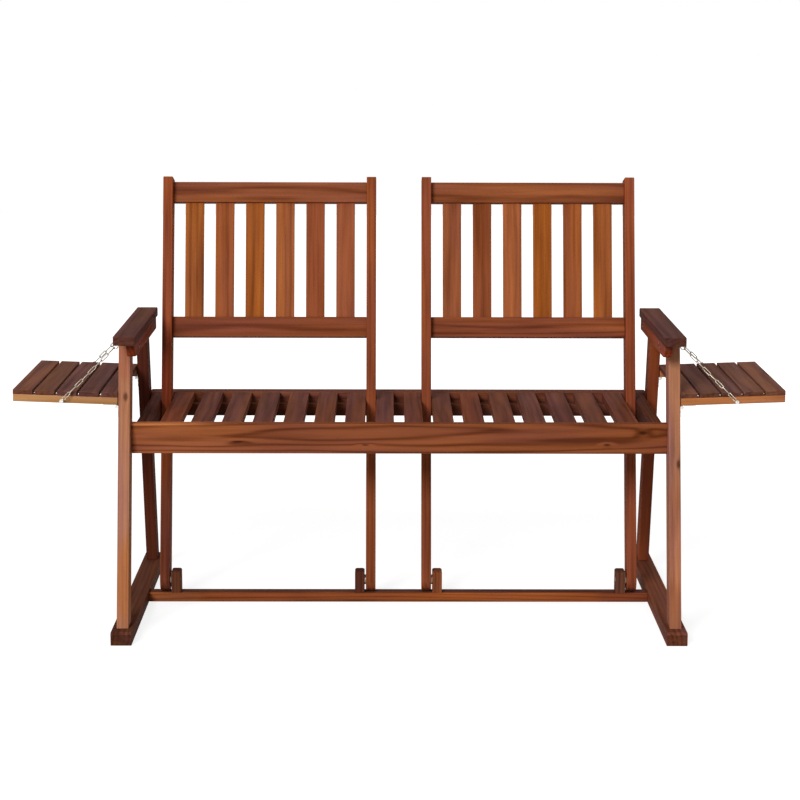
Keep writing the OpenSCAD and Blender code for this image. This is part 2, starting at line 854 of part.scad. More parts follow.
module hinge_pins() {
  color(metal) both_sides() translate([pin_x, 0, hinge_h]) {
    hinge_pin(front_batten_y, batten_d);
    hinge_pin(rear_hinge_y, rear_hinge_len);
  }
}

// ---------- chains ----------

// A link of the given length that hangs down from the origin in the YZ plane
module link(length) {
  mean = link_w / 2 - wire_r;
  straight = length - link_w;
  translate([0, 0, -link_w / 2]) rotate([0, 90, 0]) rotate([0, 0, 90])
    rotate_extrude(angle = 180) translate([mean, 0]) circle(r = wire_r);
  translate([0, 0, -link_w / 2 - straight]) rotate([0, 90, 0]) rotate([0, 0, -90])
    rotate_extrude(angle = 180) translate([mean, 0]) circle(r = wire_r);
  for (y = [-mean, mean])
    translate([0, y, -link_w / 2 - straight]) cylinder(r = wire_r, h = straight);
}

// A chain from the ring of the eye at y0 to the chain screw at y1;
// its links' pitch is fitted so that the last one ends at the screw
module chain(y0, y1) {
  drop = norm([chain_dx, chain_dz]) - eye_r;
  reach = norm([drop, y1 - y0]);
  extra = 4 * wire_r + link_play;
  pitch = (reach + link_lead - hook_gap - extra) / chain_links;
  at_eye(y0) rotate([0, -chain_slant, 0]) translate([0, 0, -eye_r])
    rotate([atan2(y1 - y0, drop), 0, 0])
      for (k = [0 : chain_links - 1])
        translate([0, 0, link_lead - k * pitch]) rotate([0, 0, k % 2 == 0 ? 0 : 90])
          link(pitch + extra);
}

module chains(s) {
  color(metal) side(s) {
    chain(front_eye_y, front_chain_y);
    chain(rear_eye_y, rear_chain_y);
  }
}

module eye_shank(grow, deeper) {
  shank_end = -eye_out - 14;
  translate([shank_end - deeper, 0, 0]) rotate([0, 90, 0])
    cylinder(r = 1.6 + grow, h = 14 + eye_out - eye_r + deeper);
}

module chain_eyes() {
  color(metal) both_sides() at_eyes() {
    rotate([90, 0, 0]) rotate_extrude() translate([eye_r, 0]) circle(r = wire_r);
    eye_shank(0, 0);
  }
}

// ---------- fasteners ----------

module bolts() {
  color(metal) both_sides() {
    at_apron_bolt() bolt();
    at_rear_bolt() bolt();
    at_stretcher_bolt() bolt();
    at_outer_pivot() bolt(pivot_bolt_len);
    at_inner_pivot() bolt(pivot_bolt_len);
  }
}

module ring(r, h, sides = $fn) {
  difference() {
    cylinder(r = r, h = h, $fn = sides);
    translate([0, 0, -past]) cylinder(r = bolt_r + hole_play, h = h + 2 * past);
  }
}

module pivot_washers() {
  color(metal) both_sides() {
    at_outer_pivot() translate([0, 0, washer_at]) ring(washer_r, washer_t);
    at_inner_pivot() translate([0, 0, washer_at]) ring(washer_r, washer_t);
  }
}

module pivot_nuts() {
  color(metal) both_sides() {
    at_outer_pivot() translate([0, 0, nut_at]) ring(nut_r, nut_h, 6);
    at_inner_pivot() translate([0, 0, nut_at]) ring(nut_r, nut_h, 6);
  }
}

module wood_screws() {
  color(metal) {
    both_sides() {
      at_feet() frame_screw();
      at_armrest_screws() frame_screw();
      at_arm_joints() frame_screw();
      at_blocks() frame_screw();
    }
    at_stop_screws() frame_screw();
  }
}

// ---------- the bench ----------

runner(-1);  // left_runner
runner(1);  // right_runner
front_leg(-1);  // left_front_leg
front_leg(1);  // right_front_leg
rear_leg(-1);  // left_rear_leg
rear_leg(1);  // right_rear_leg
arm_rail(-1);  // left_arm_rail
arm_rail(1);  // right_arm_rail
armrest(-1);  // left_armrest
armrest(1);  // right_armrest
lower_stretcher();
pivot_blocks();
front_apron();
rear_rail();
side_rail(-1);  // left_side_rail
side_rail(1);  // right_side_rail
back_stop_rail();
for (i = [1 : slat_n])
  seat_slat(i);
post(-1, outer_post_x0);  // left_back_outer_post
post(-1, inner_post_x0);  // left_back_inner_post
rail_of_back(-1, top_rail_at);  // left_back_top_rail
rail_of_back(-1, lower_rail_at);  // left_back_lower_rail
back_slats(-1);  // left_back_slats
post(1, outer_post_x0);  // right_back_outer_post
post(1, inner_post_x0);  // right_back_inner_post
rail_of_back(1, top_rail_at);  // right_back_top_rail
rail_of_back(1, lower_rail_at);  // right_back_lower_rail
back_slats(1);  // right_back_slats
tray_boards(-1);  // left_tray_boards
tray_battens(-1);  // left_tray_battens
tray_leaves(-1);  // left_tray_leaves
tray_screws(-1);  // left_tray_screws
tray_boards(1);  // right_tray_boards
tray_battens(1);  // right_tray_battens
tray_leaves(1);  // right_tray_leaves
tray_screws(1);  // right_tray_screws
leg_leaves();
hinge_pins();
chains(-1);  // left_chains
chains(1);  // right_chains
chain_eyes();
bolts();
pivot_washers();
pivot_nuts();
wood_screws();
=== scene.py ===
# %% [markdown]
# # A bench for two, dressed in oiled hardwood
#
# The bench is a slatted seat on two sledge-shaped ends, with two backs that fold down and
# a small tray on chains outside each armrest. Its construction is already worked out and
# loaded below as named nodes. This lesson gives every board its grain and eased edges,
# every screw its drive and every chain its links, and leaves each of them exactly where
# the construction has it.

# %% Load the construction
import json
import math
import random

import bmesh
import bpy
import numpy as np
from mathutils import Matrix, Vector


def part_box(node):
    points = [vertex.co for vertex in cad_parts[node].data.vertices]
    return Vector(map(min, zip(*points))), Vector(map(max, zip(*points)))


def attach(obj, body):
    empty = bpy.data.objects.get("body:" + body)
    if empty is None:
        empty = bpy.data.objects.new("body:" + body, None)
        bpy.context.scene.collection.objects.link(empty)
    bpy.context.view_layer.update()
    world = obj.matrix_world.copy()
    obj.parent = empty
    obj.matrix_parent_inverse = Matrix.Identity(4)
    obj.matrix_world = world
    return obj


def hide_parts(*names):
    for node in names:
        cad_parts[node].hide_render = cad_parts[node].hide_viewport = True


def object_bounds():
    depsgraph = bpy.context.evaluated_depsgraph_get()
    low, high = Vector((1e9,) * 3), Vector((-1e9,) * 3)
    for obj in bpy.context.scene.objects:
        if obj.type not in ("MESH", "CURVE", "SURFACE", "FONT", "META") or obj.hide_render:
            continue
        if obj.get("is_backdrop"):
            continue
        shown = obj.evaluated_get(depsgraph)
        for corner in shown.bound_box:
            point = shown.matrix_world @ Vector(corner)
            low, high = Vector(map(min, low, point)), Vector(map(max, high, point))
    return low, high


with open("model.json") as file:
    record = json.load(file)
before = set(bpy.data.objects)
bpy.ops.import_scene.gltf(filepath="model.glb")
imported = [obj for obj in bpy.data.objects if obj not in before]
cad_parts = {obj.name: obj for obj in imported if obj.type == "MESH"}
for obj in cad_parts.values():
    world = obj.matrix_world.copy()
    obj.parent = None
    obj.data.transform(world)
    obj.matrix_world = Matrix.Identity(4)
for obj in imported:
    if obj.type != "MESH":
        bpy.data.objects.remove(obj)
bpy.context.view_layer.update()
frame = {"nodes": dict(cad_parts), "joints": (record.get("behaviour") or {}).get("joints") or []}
MM = 0.001
X, Y, Z = Vector((1, 0, 0)), Vector((0, 1, 0)), Vector((0, 0, 1))
UNTURNED = Matrix.Identity(4)
SIDES = ("left", "right")

# %% [markdown]
# ## Camera
#
# A bench like this is shown almost straight from the front, from a little higher than its
# backs, so that the seat and the trays show their tops. A long lens from four and a half
# metres keeps the uprights upright.

# %% Camera
LENS = 95.7
CAMERA_AT = Vector((-0.0291, -4.5236, 1.2798))
PITCH = math.radians(10.37)
YAW = math.radians(0.397)
ROLL = math.radians(0.163)


def aim(pitch, yaw, roll):
    """Rotation of a camera that looks along +Y, pitched down, yawed right and rolled."""
    forward = Vector((math.sin(yaw) * math.cos(pitch), math.cos(yaw) * math.cos(pitch), -math.sin(pitch)))
    level = Vector((math.cos(yaw), -math.sin(yaw), 0))
    above = level.cross(forward)
    right = math.cos(roll) * level + math.sin(roll) * above
    up = right.cross(forward)
    return Matrix((right, up, -forward)).transposed().to_4x4()


def add_object(name, data):
    """A new object in the scene: a camera, a lamp or a mesh."""
    obj = bpy.data.objects.new(name, data)
    bpy.context.scene.collection.objects.link(obj)
    return obj


camera = add_object("camera", bpy.data.cameras.new("camera"))
camera.data.lens = LENS
camera.matrix_world = Matrix.Translation(CAMERA_AT) @ aim(PITCH, YAW, ROLL)
bpy.context.scene.camera = camera
bpy.context.scene.view_settings.view_transform = "Standard"
print("the camera stands", round(-CAMERA_AT.y, 2), "m before the bench")

# %% [markdown]
# ## Building node trees
#
# Materials, the world and the Geometry Nodes trees are all node trees. A short helper adds
# a node, sets its properties and fills its inputs, so each tree below reads from top to
# bottom. An input that is given a socket is linked, and any other value is set on it.


# %% Helpers for node trees
def fill(tree, socket, value):
    """Links an input to the socket it is given, or sets it to the value."""
    if isinstance(value, bpy.types.NodeSocket):
        tree.links.new(value, socket)
    else:
        socket.default_value = value


def add(tree, kind, inputs=None, **settings):
    """Adds a node to a tree: settings are its properties, inputs are by name or number."""
    node = tree.nodes.new(kind)
    for name, value in settings.items():
        setattr(node, name, value)
    for key, value in (inputs or {}).items():
        fill(tree, node.inputs[key], value)
    return node


def calc(tree, operation, *values, clamp=False):
    """The result of a Math node."""
    node = add(tree, "ShaderNodeMath", dict(enumerate(values)), operation=operation, use_clamp=clamp)
    return node.outputs[0]


def vector_calc(tree, operation, *values, out=0):
    """The result of a Vector Math node; out=1 gives its number."""
    return add(tree, "ShaderNodeVectorMath", dict(enumerate(values)), operation=operation).outputs[out]


def ramp(tree, value, low, high, to_low=0.0, to_high=1.0):
    """A value between low and high, brought smoothly to to_low and to_high."""
    node = add(tree, "ShaderNodeMapRange", interpolation_type="SMOOTHSTEP",
               inputs={"Value": value, "From Min": low, "From Max": high,
                       "To Min": to_low, "To Max": to_high})
    return node.outputs["Result"]


def blend(tree, factor, first, second, kind="MIX"):
    """Two colours mixed."""
    node = add(tree, "ShaderNodeMix", {0: factor, 6: first, 7: second},
               data_type="RGBA", blend_type=kind, clamp_factor=True)
    return node.outputs[2]


def new_material(name):
    """An empty material, its tree and its output node."""
    material = bpy.data.materials.new(name)
    material.use_nodes = True
    material.node_tree.nodes.clear()
    output = add(material.node_tree, "ShaderNodeOutputMaterial")
    return material, material.node_tree, output


def surface(tree, output, inputs, relief, strength, depth):
    """Ends a material with a Principled shader whose bumps follow the relief."""
    bump = add(tree, "ShaderNodeBump", {"Strength": strength, "Distance": depth, "Height": relief})
    shader = add(tree, "ShaderNodeBsdfPrincipled", {"Normal": bump.outputs[0], **inputs})
    tree.links.new(shader.outputs[0], output.inputs["Surface"])


def srgb(red, green, blue):
    """A colour written as on a paint card, 0 to 255, as the linear colour that nodes use."""
    parts = [channel / 255 for channel in (red, green, blue)]
    linear = [p / 12.92 if p <= 0.04045 else ((p + 0.055) / 1.055) ** 2.4 for p in parts]
    return (*linear, 1.0)


print("the node helpers are ready")

# %% [markdown]
# ## Floor, world and lamps
#
# The bench stands in a white studio. The floor is white to the camera and in reflections,
# with just enough real diffuse light on it to keep the soft shadow of the runners, and the
# world does the same. For the light itself the world is a quiet grey, and one large lamp
# from the upper left in front brings the fronts of the boards to their own colour and
# leaves the tops a little darker.

# %% Floor and world
FLOOR_HALF = 9.0
FLOOR_GLOW = 0.80
FLOOR_SHADE = 0.45
FLOOR_BOUNCE = 0.45
FADE_FROM, FADE_TO = 1.1, 2.6
SKY_LIGHT = 0.34


def seen_directly(tree):
    """1 for camera, glossy and transmission rays, 0 for the rays that carry light."""
    path = add(tree, "ShaderNodeLightPath").outputs
    shiny = calc(tree, "MAXIMUM", path["Is Glossy Ray"], path["Is Transmission Ray"])
    return calc(tree, "MAXIMUM", path["Is Camera Ray"], shiny)


def studio_floor():
    material, tree, output = new_material("studio_floor")
    place = add(tree, "ShaderNodeTexCoord").outputs["Object"]
    away = vector_calc(tree, "LENGTH", place, out=1)
    strength = ramp(tree, away, FADE_FROM, FADE_TO, FLOOR_GLOW, 1.0)
    glow = add(tree, "ShaderNodeEmission", {"Strength": strength}).outputs[0]
    shade = add(tree, "ShaderNodeBsdfDiffuse", {"Color": (FLOOR_SHADE,) * 3 + (1,)}).outputs[0]
    plain = add(tree, "ShaderNodeBsdfDiffuse", {"Color": (FLOOR_BOUNCE,) * 3 + (1,)}).outputs[0]
    lit = add(tree, "ShaderNodeAddShader", {0: glow, 1: shade}).outputs[0]
    mixed = add(tree, "ShaderNodeMixShader", {0: seen_directly(tree), 1: plain, 2: lit})
    tree.links.new(mixed.outputs[0], output.inputs["Surface"])
    return material


corners = [(-FLOOR_HALF, -FLOOR_HALF, 0), (FLOOR_HALF, -FLOOR_HALF, 0),
           (FLOOR_HALF, FLOOR_HALF, 0), (-FLOOR_HALF, FLOOR_HALF, 0)]
floor_mesh = bpy.data.meshes.new("floor")
floor_mesh.from_pydata(corners, [], [(0, 1, 2, 3)])
floor_mesh.materials.append(studio_floor())
floor = add_object("floor", floor_mesh)
floor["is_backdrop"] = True

world = bpy.data.worlds.new("studio")
world.use_nodes = True
world.node_tree.nodes.clear()
sky = add(world.node_tree, "ShaderNodeBackground", {"Color": (1, 1, 1, 1), "Strength": SKY_LIGHT})
white = add(world.node_tree, "ShaderNodeBackground", {"Color": (1, 1, 1, 1), "Strength": 1.0})
both = add(world.node_tree, "ShaderNodeMixShader",
           {0: seen_directly(world.node_tree), 1: sky.outputs[0], 2: white.outputs[0]})
add(world.node_tree, "ShaderNodeOutputWorld", {"Surface": both.outputs[0]})
bpy.context.scene.world = world
print("the floor is", 2 * FLOOR_HALF, "m across")


# %% Lamps
def soft_lamp(name, at, towards, size, watts):
    """A square area lamp that looks from one point to another."""
    data = bpy.data.lights.new(name, "AREA")
    data.size = size
    data.energy = watts
    lamp = add_object(name, data)
    lamp.location = at
    lamp.rotation_euler = (Vector(towards) - Vector(at)).to_track_quat("-Z", "Y").to_euler()


soft_lamp("key", at=(-3.0, -7.4, 4.3), towards=(0, 0, 0.45), size=2.8, watts=500)
soft_lamp("rim", at=(1.8, 3.0, 2.6), towards=(0, 0, 0.6), size=2.0, watts=20)
print("one lamp lights the front, a weak one the back")

# %% [markdown]
# ## Timber
#
# The boards are sawn from a red-brown hardwood and oiled. Sawn wood has a direction: rings
# that run the length of the board as wandering stripes, fine fibres and short dark pores
# along them, and a darker end grain. A pattern laid over the whole bench would run across
# some boards, so each board stores its own coordinates in a `grain` attribute: along,
# across and through the board, in metres. Further attributes hold a number that moves the
# pattern to another place for each board (`lot`), the board's own colour (`stain`), where
# its sawn ends are (`endgrain`) and where a painted highlight lightens the eased edges
# (`edge_highlight`).
# The material reads these five, so turning or folding a piece never moves its figure.

# %% Rings of a tree
RING_PITCH = 9 * MM
KNOT_BEND = 3 * MM
LATE_WOOD = 2.4
RING_WANDER = 26 * MM
HEART_SPREAD = 60 * MM
HEART_DEPTH = 22 * MM
LENGTHWISE = 0.028


def attribute(tree, name, output="Vector"):
    return add(tree, "ShaderNodeAttribute", attribute_name=name).outputs[output]


def noise(tree, vector, stretch, detail=2.0, rough=0.5):
    """Noise of a vector after each axis is multiplied by its own number, about 0 to 1."""
    scaled = vector_calc(tree, "MULTIPLY", vector, stretch)
    node = add(tree, "ShaderNodeTexNoise", {"Vector": scaled, "Scale": 1.0,
                                            "Detail": detail, "Roughness": rough})
    return node.outputs["Fac"]


def near(tree, grain, at, size):
    """Distance from a spot on the board, in units of the spot's own size."""
    offset = vector_calc(tree, "SUBTRACT", grain, (*at, 0))
    flat = vector_calc(tree, "DIVIDE", offset, (*size, 1e6))
    return vector_calc(tree, "LENGTH", flat, out=1)


def ring_stripes(tree, grain, lot, place, knots, pitch):
    """Thin dark stripes where the board cuts the tree's rings, bent round each knot."""
    wander = calc(tree, "MULTIPLY", noise(tree, place, (1.6, 16, 16)), RING_WANDER)
    spread = calc(tree, "MULTIPLY", lot, HEART_SPREAD)
    off_centre = add(tree, "ShaderNodeCombineXYZ",
                     {"X": 0.0, "Y": calc(tree, "SUBTRACT", spread, HEART_SPREAD / 2),
                      "Z": calc(tree, "ADD", spread, HEART_DEPTH)}).outputs[0]
    drawn_out = vector_calc(tree, "MULTIPLY", grain, (LENGTHWISE, 1, 1))
    cut = vector_calc(tree, "ADD", drawn_out, off_centre)
    radius = calc(tree, "ADD", vector_calc(tree, "LENGTH", cut, out=1), wander)
    for at, size in knots:
        reach = near(tree, grain, at, [4 * side for side in size])
        radius = calc(tree, "ADD", radius, ramp(tree, reach, 1.0, 0.0, 0.0, KNOT_BEND))
    turns = calc(tree, "MULTIPLY", radius, 2 * math.pi / pitch)
    wave = calc(tree, "MULTIPLY_ADD", calc(tree, "SINE", turns), 0.5, 0.5)
    line = calc(tree, "POWER", wave, LATE_WOOD)
    return calc(tree, "MULTIPLY_ADD", line, -1.0, 0.5 + 1 / (1 + LATE_WOOD))


print("timber stripes are about", round(RING_PITCH / MM), "mm apart")

# %% Timber material
LOT_SHIFT = (7.3, 5.1, 3.7)
OIL_SHEEN = 0.003
# Scale of each noise along, across and through the board
STREAKS = (3.2, 105, 105)
FIBRES = (14, 620, 620)
CLOUDS = (3.4, 17, 17)
PORES = (110, 2300, 2300)
HUES = (2.3, 33, 33)
DARK_WOOD = (0.34, 0.24, 0.20, 1)
LIGHT_WOOD = (1.66, 1.76, 1.80, 1)
GOLDEN = (1.10, 1.06, 0.84, 1)
RUDDY = (0.93, 0.90, 1.02, 1)
KNOT_TINT = (0.20, 0.17, 0.19, 1)
PORE_COLOUR = (0.02, 0.011, 0.008, 1)
END_TINT = (0.42, 0.36, 0.34, 1)
# Painted highlight: the middle of each eased edge is lightened by this tint
EDGE_HIGHLIGHT_TINT = (1.7, 1.65, 1.6, 1)


def timber(name, rings=0.30, streaks=0.85, fibres=0.34, clouds=0.80, knots=(), patches=(),
           pitch=RING_PITCH):
    """Oiled hardwood. knots are (place, size) and patches are (place, size, tint) on the board."""
    material, tree, output = new_material(name)
    grain = attribute(tree, "grain")
    lot = attribute(tree, "lot", "Fac")
    lots = add(tree, "ShaderNodeCombineXYZ", {"X": lot, "Y": lot, "Z": lot}).outputs[0]
    place = vector_calc(tree, "ADD", grain, vector_calc(tree, "MULTIPLY", lots, LOT_SHIFT))

    ring = ring_stripes(tree, grain, lot, place, knots, pitch)
    streak = noise(tree, place, STREAKS, 3.0, 0.6)
    fibre = noise(tree, place, FIBRES, 3.0, 0.6)
    cloud = noise(tree, place, CLOUDS)
    pore = ramp(tree, noise(tree, place, PORES, 1.0), 0.66, 0.74)

    tone = 0.5
    for part, share in ((ring, rings), (streak, streaks), (fibre, fibres), (cloud, clouds)):
        centred = calc(tree, "SUBTRACT", part, 0.5)
        tone = calc(tree, "MULTIPLY_ADD", centred, share, tone)
    figure = blend(tree, calc(tree, "MULTIPLY", tone, 1.0, clamp=True), DARK_WOOD, LIGHT_WOOD)
    hue = ramp(tree, noise(tree, place, HUES), 0.36, 0.64)
    colour = blend(tree, 1.0, attribute(tree, "stain", "Color"), figure, "MULTIPLY")
    colour = blend(tree, 1.0, colour, blend(tree, hue, RUDDY, GOLDEN), "MULTIPLY")

    ragged = calc(tree, "MULTIPLY", calc(tree, "SUBTRACT", streak, 0.5), 1.5)
    for at, size, tint in patches:
        edge = calc(tree, "ADD", near(tree, grain, at, size), ragged)
        colour = blend(tree, ramp(tree, edge, 1.15, 0.55), colour, (*tint, 1), "MULTIPLY")
    for at, size in knots:
        edge = calc(tree, "MULTIPLY_ADD", ragged, 0.5, near(tree, grain, at, size))
        colour = blend(tree, ramp(tree, edge, 1.5, 0.35, 0.0, 0.8), colour, KNOT_TINT, "MULTIPLY")

    colour = blend(tree, calc(tree, "MULTIPLY", pore, 0.35), colour, PORE_COLOUR)
    ends = calc(tree, "MULTIPLY", attribute(tree, "endgrain", "Fac"), 0.45)
    colour = blend(tree, ends, colour, END_TINT, "MULTIPLY")
    # Painted highlight along the eased edges, stronger on some streaks than on others
    highlight_strength = ramp(tree, streak, 0.3, 0.7, 0.15, 0.5)
    highlit = calc(tree, "MULTIPLY", attribute(tree, "edge_highlight", "Fac"), highlight_strength)
    colour = blend(tree, highlit, colour, EDGE_HIGHLIGHT_TINT, "MULTIPLY")

    gloss = ramp(tree, calc(tree, "ADD", fibre, cloud), 0.7, 1.3, 0.46, 0.60)
    relief = calc(tree, "SUBTRACT", calc(tree, "MULTIPLY_ADD", ring, 0.25, fibre), pore)
    surface(tree, output, {"Base Color": colour, "Roughness": gloss, "Specular IOR Level": OIL_SHEEN},
            relief, strength=0.22, depth=0.3 * MM)
    return material


print("the timber material is ready for any board")

# %% [markdown]
# ## Zinc-plated steel
#
# Bolts, screws, hinges and chains are steel with a bright zinc coat. Zinc is a metal that
# mirrors softly: its colour hardly changes, but its roughness does, in small blooms and in
# fine drawing marks. The pattern uses object coordinates, because these parts are too
# small to need one of their own.


# %% Zinc material
def zinc(name, base, dull):
    material, tree, output = new_material(name)
    place = add(tree, "ShaderNodeTexCoord").outputs["Object"]
    bloom = noise(tree, place, (260, 260, 260), 3.0, 0.6)
    scratch = noise(tree, place, (3200, 900, 3200))
    colour = blend(tree, ramp(tree, bloom, 0.35, 0.7), (*base, 1), (*dull, 1))
    rough = ramp(tree, calc(tree, "ADD", bloom, scratch), 0.6, 1.4, 0.20, 0.42)
    surface(tree, output, {"Base Color": colour, "Metallic": 1.0, "Roughness": rough},
            scratch, strength=0.15, depth=0.05 * MM)
    return material


STEEL = zinc("zinc_plate", base=(0.74, 0.71, 0.66), dull=(0.48, 0.45, 0.41))
CHAIN_STEEL = zinc("chain_wire", base=(0.45, 0.39, 0.32), dull=(0.26, 0.22, 0.17))
print("bright plate for the fasteners, a duller one for the chains")

# %% [markdown]
# ## Measuring the construction
#
# Every size comes from the construction itself. A node's box gives the boards that lie
# square to the bench. The backs lean and the trays tilt, so their boxes are taken after
# turning the node back to its own axes. Nodes that hold several solids, such as the
# screws, are split into their shells first.


# %% Boxes and shells of nodes
def points_of(mesh):
    """A mesh's vertices as rows of an array."""
    flat = np.empty(len(mesh.vertices) * 3)
    mesh.vertices.foreach_get("co", flat)
    return flat.reshape(-1, 3)


def node_points(node, place=UNTURNED):
    """A node's points as seen from a frame of its own."""
    turned = np.array(place.inverted())
    return points_of(frame["nodes"][node].data) @ turned[:3, :3].T + turned[:3, 3]


def box_in(node, place):
    """Lowest and highest corner of a node in a frame of its own."""
    points = node_points(node, place)
    return Vector(points.min(0)), Vector(points.max(0))


def shells(node, place=UNTURNED):
    """The points of each separate solid in a node, as arrays."""
    bm = bmesh.new()
    bm.from_mesh(frame["nodes"][node].data)
    bmesh.ops.remove_doubles(bm, verts=bm.verts, dist=1e-5)
    back = place.inverted()
    seen, groups = set(), []
    for start in bm.verts:
        if start in seen:
            continue
        seen.add(start)
        group = [start]
        for vertex in group:
            for edge in vertex.link_edges:
                other = edge.other_vert(vertex)
                if other not in seen:
                    seen.add(other)
                    group.append(other)
        groups.append(np.array([back @ vertex.co for vertex in group]))
    bm.free()
    return groups


def middle(points):
    return Vector((points.min(0) + points.max(0)) / 2)


print("the construction has", len(frame["nodes"]), "nodes")

# %% [markdown]
# ## Boards
#
# Nearly every piece is a board: an outline in the plane of the bench's end, drawn along
# the bench. Sawn boards are never razor sharp, because the maker runs a small round over
# every edge before oiling, so each edge gets a narrow bevel that catches the light. The
# vertices in the middle of that bevel are marked for a painted highlight, and the faces
# across the grain as end grain, before the grain coordinates are written.

# %% Making a board
EASE = 1.3 * MM
SHARP_BEND = math.radians(20)
FIELDS = {"FLOAT": "value", "INT": "value", "FLOAT_VECTOR": "vector", "FLOAT_COLOR": "color"}


def store(mesh, name, kind, values):
    """Writes an attribute that has a value for each vertex."""
    flat = np.ravel(values).astype(np.int32 if kind == "INT" else np.float32)
    mesh.attributes.new(name, kind, "POINT").data.foreach_set(FIELDS[kind], flat)


def baked(bm, name):
    """A bmesh written to a new mesh, and freed."""
    mesh = bpy.data.meshes.new(name)
    bm.to_mesh(mesh)
    bm.free()
    return mesh


def eased(bm, name, along, ease, square=0.8):
    """Rounds the sharp edges, and notes which vertices get the painted edge highlight and which lie on
    sawn ends.
    """
    sharp = [edge for edge in bm.edges if edge.calc_face_angle(0) > SHARP_BEND]
    bevel = bmesh.ops.bevel(bm, geom=sharp, offset=ease, segments=2, profile=0.5, affect="EDGES")
    rounded = set(bevel["faces"])
    # Vertices in the middle of a bevel get the painted edge highlight
    highlit = [all(face in rounded for face in vertex.link_faces) for vertex in bm.verts]
    sawn = [any(face not in rounded and abs(face.normal.dot(along)) > square
                for face in vertex.link_faces) for vertex in bm.verts]
    mesh = baked(bm, name)
    store(mesh, "edge_highlight", "FLOAT", highlit)
    store(mesh, "endgrain", "FLOAT", sawn)
    return mesh


def board_mesh(outline, x0, x1, along, ease=EASE):
    """A closed board: outline is a list of (y, z) points that turn anticlockwise."""
    bm = bmesh.new()
    ends = [[bm.verts.new((x, y, z)) for y, z in outline] for x in (x0, x1)]
    bm.faces.new(list(reversed(ends[0])))
    bm.faces.new(ends[1])
    for i in range(len(outline)):
        j = (i + 1) % len(outline)
        bm.faces.new((ends[0][i], ends[0][j], ends[1][j], ends[1][i]))
    bm.normal_update()
    return eased(bm, "board", along, ease)


def rectangle(y0, y1, z0, z1):
    return [(y0, z0), (y1, z0), (y1, z1), (y0, z1)]


def smooth_shallow(mesh, degrees=12):
    """Smooth shading across edges that bend less than this, flat across the others."""
    mesh.shade_smooth()
    mesh.set_sharp_from_angle(angle=math.radians(degrees))


def grain_board(mesh, along, through):
    """Shades a board and stores its own coordinates: along, across and through its middle."""
    smooth_shallow(mesh)
    points = points_of(mesh)
    centre = (points.min(0) + points.max(0)) / 2
    axes = np.array([along, through.cross(along), through])
    store(mesh, "grain", "FLOAT_VECTOR", (points - centre) @ axes.T)
    return mesh


print("edges are eased by", round(EASE / MM, 1), "mm")

# %% Cutting into a board
DRILL_PAST = 3 * MM


def settle(obj):
    """Replaces an object's mesh by the evaluated one and removes its modifiers."""
    graph = bpy.context.evaluated_depsgraph_get()
    mesh = bpy.data.meshes.new_from_object(obj.evaluated_get(graph), preserve_all_data_layers=True,
                                           depsgraph=graph)
    obj.modifiers.clear()
    obj.data = mesh
    return obj


def cut_out(mesh, cutters):
    """The mesh with the cutter meshes taken out of it."""
    blank = add_object("blank", mesh)
    tools = [add_object("cutter", cutter) for cutter in cutters]
    for tool in tools:
        cut = blank.modifiers.new("cut", "BOOLEAN")
        cut.operation = "DIFFERENCE"
        cut.solver = "EXACT"
        cut.object = tool
    result = settle(blank).data
    for obj in [blank, *tools]:
        bpy.data.objects.remove(obj)
    return result


def drill(mesh, holes):
    """Cuts round holes into a board: each is (mouth, direction inwards, radius, depth)."""
    bm = bmesh.new()
    for mouth, inward, radius, depth in holes:
        turn = inward.to_track_quat("Z", "Y").to_matrix().to_4x4()
        at = mouth + inward * (depth - DRILL_PAST) / 2
        bmesh.ops.create_cone(bm, cap_ends=True, segments=32, radius1=radius, radius2=radius,
                              depth=depth + DRILL_PAST, matrix=Matrix.Translation(at) @ turn)
    return cut_out(mesh, [baked(bm, "cutter")])


print("drills start", round(DRILL_PAST / MM), "mm outside the wood")

# %% [markdown]
# ## Colour of each board
#
# Boards in one bench never match: some are golden, some nearly plum. The stain of each
# board is therefore its own, written on the vertices. Where one mesh holds several boards,
# a `board` number says which vertices belong to which.


# %% Painting the boards
def board_numbers(mesh):
    """Which board each vertex belongs to: 0 for all of them where the mesh is one board."""
    number = np.zeros(len(mesh.vertices), np.int32)
    if "board" in mesh.attributes:
        mesh.attributes["board"].data.foreach_get("value", number)
    return number


def paint(mesh, name, tones):
    """Writes stain and lot: the tones are used in turn for the boards of a mesh."""
    number = board_numbers(mesh)
    boards = range(number.max() + 1)
    chance = random.Random(name)
    lots = np.array([chance.random() for _ in boards])
    colours = np.array([srgb(*tones[i % len(tones)]) for i in boards])
    store(mesh, "lot", "FLOAT", lots[number])
    store(mesh, "stain", "FLOAT_COLOR", colours[number])


def dress(obj, body, nodes, material):
    """Gives a finished piece its material, parents it to its body's empty and hides the nodes it stands
    for.
    """
    obj.data.materials.clear()
    obj.data.materials.append(material)
    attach(obj, body)
    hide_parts(*nodes)


def make_board(node, outline, x0, x1, along, through, tone, material,
               body="frame", place=UNTURNED, holes=(), ease=EASE):
    """One board from outline to finish, drawn and drilled upright and then put in its place."""
    mesh = board_mesh(outline, x0, x1, along, ease)
    if holes:
        mesh = drill(mesh, holes)
    paint(grain_board(mesh, along, through), node, [tone])
    mesh.transform(place)
    dress(add_object(node + "_board", mesh), body, [node], material)


print("paint and dress are ready")

# %% [markdown]
# ## Screws and bolts: measured first, made later
#
# The screws decide where the boards are drilled, so their places are read before the
# boards are made. A screw's head is the end of its shell that is wider. The first helper
# gives, for each shell, the middle of its head and the direction in which the head faces,
# and the second turns the screws of a board into its drillings.


# %% Where the fasteners are
SCREW_HOLE = 4.7 * MM
SCREW_DEPTH = 3 * MM
HEAD_REACH = 3 * MM


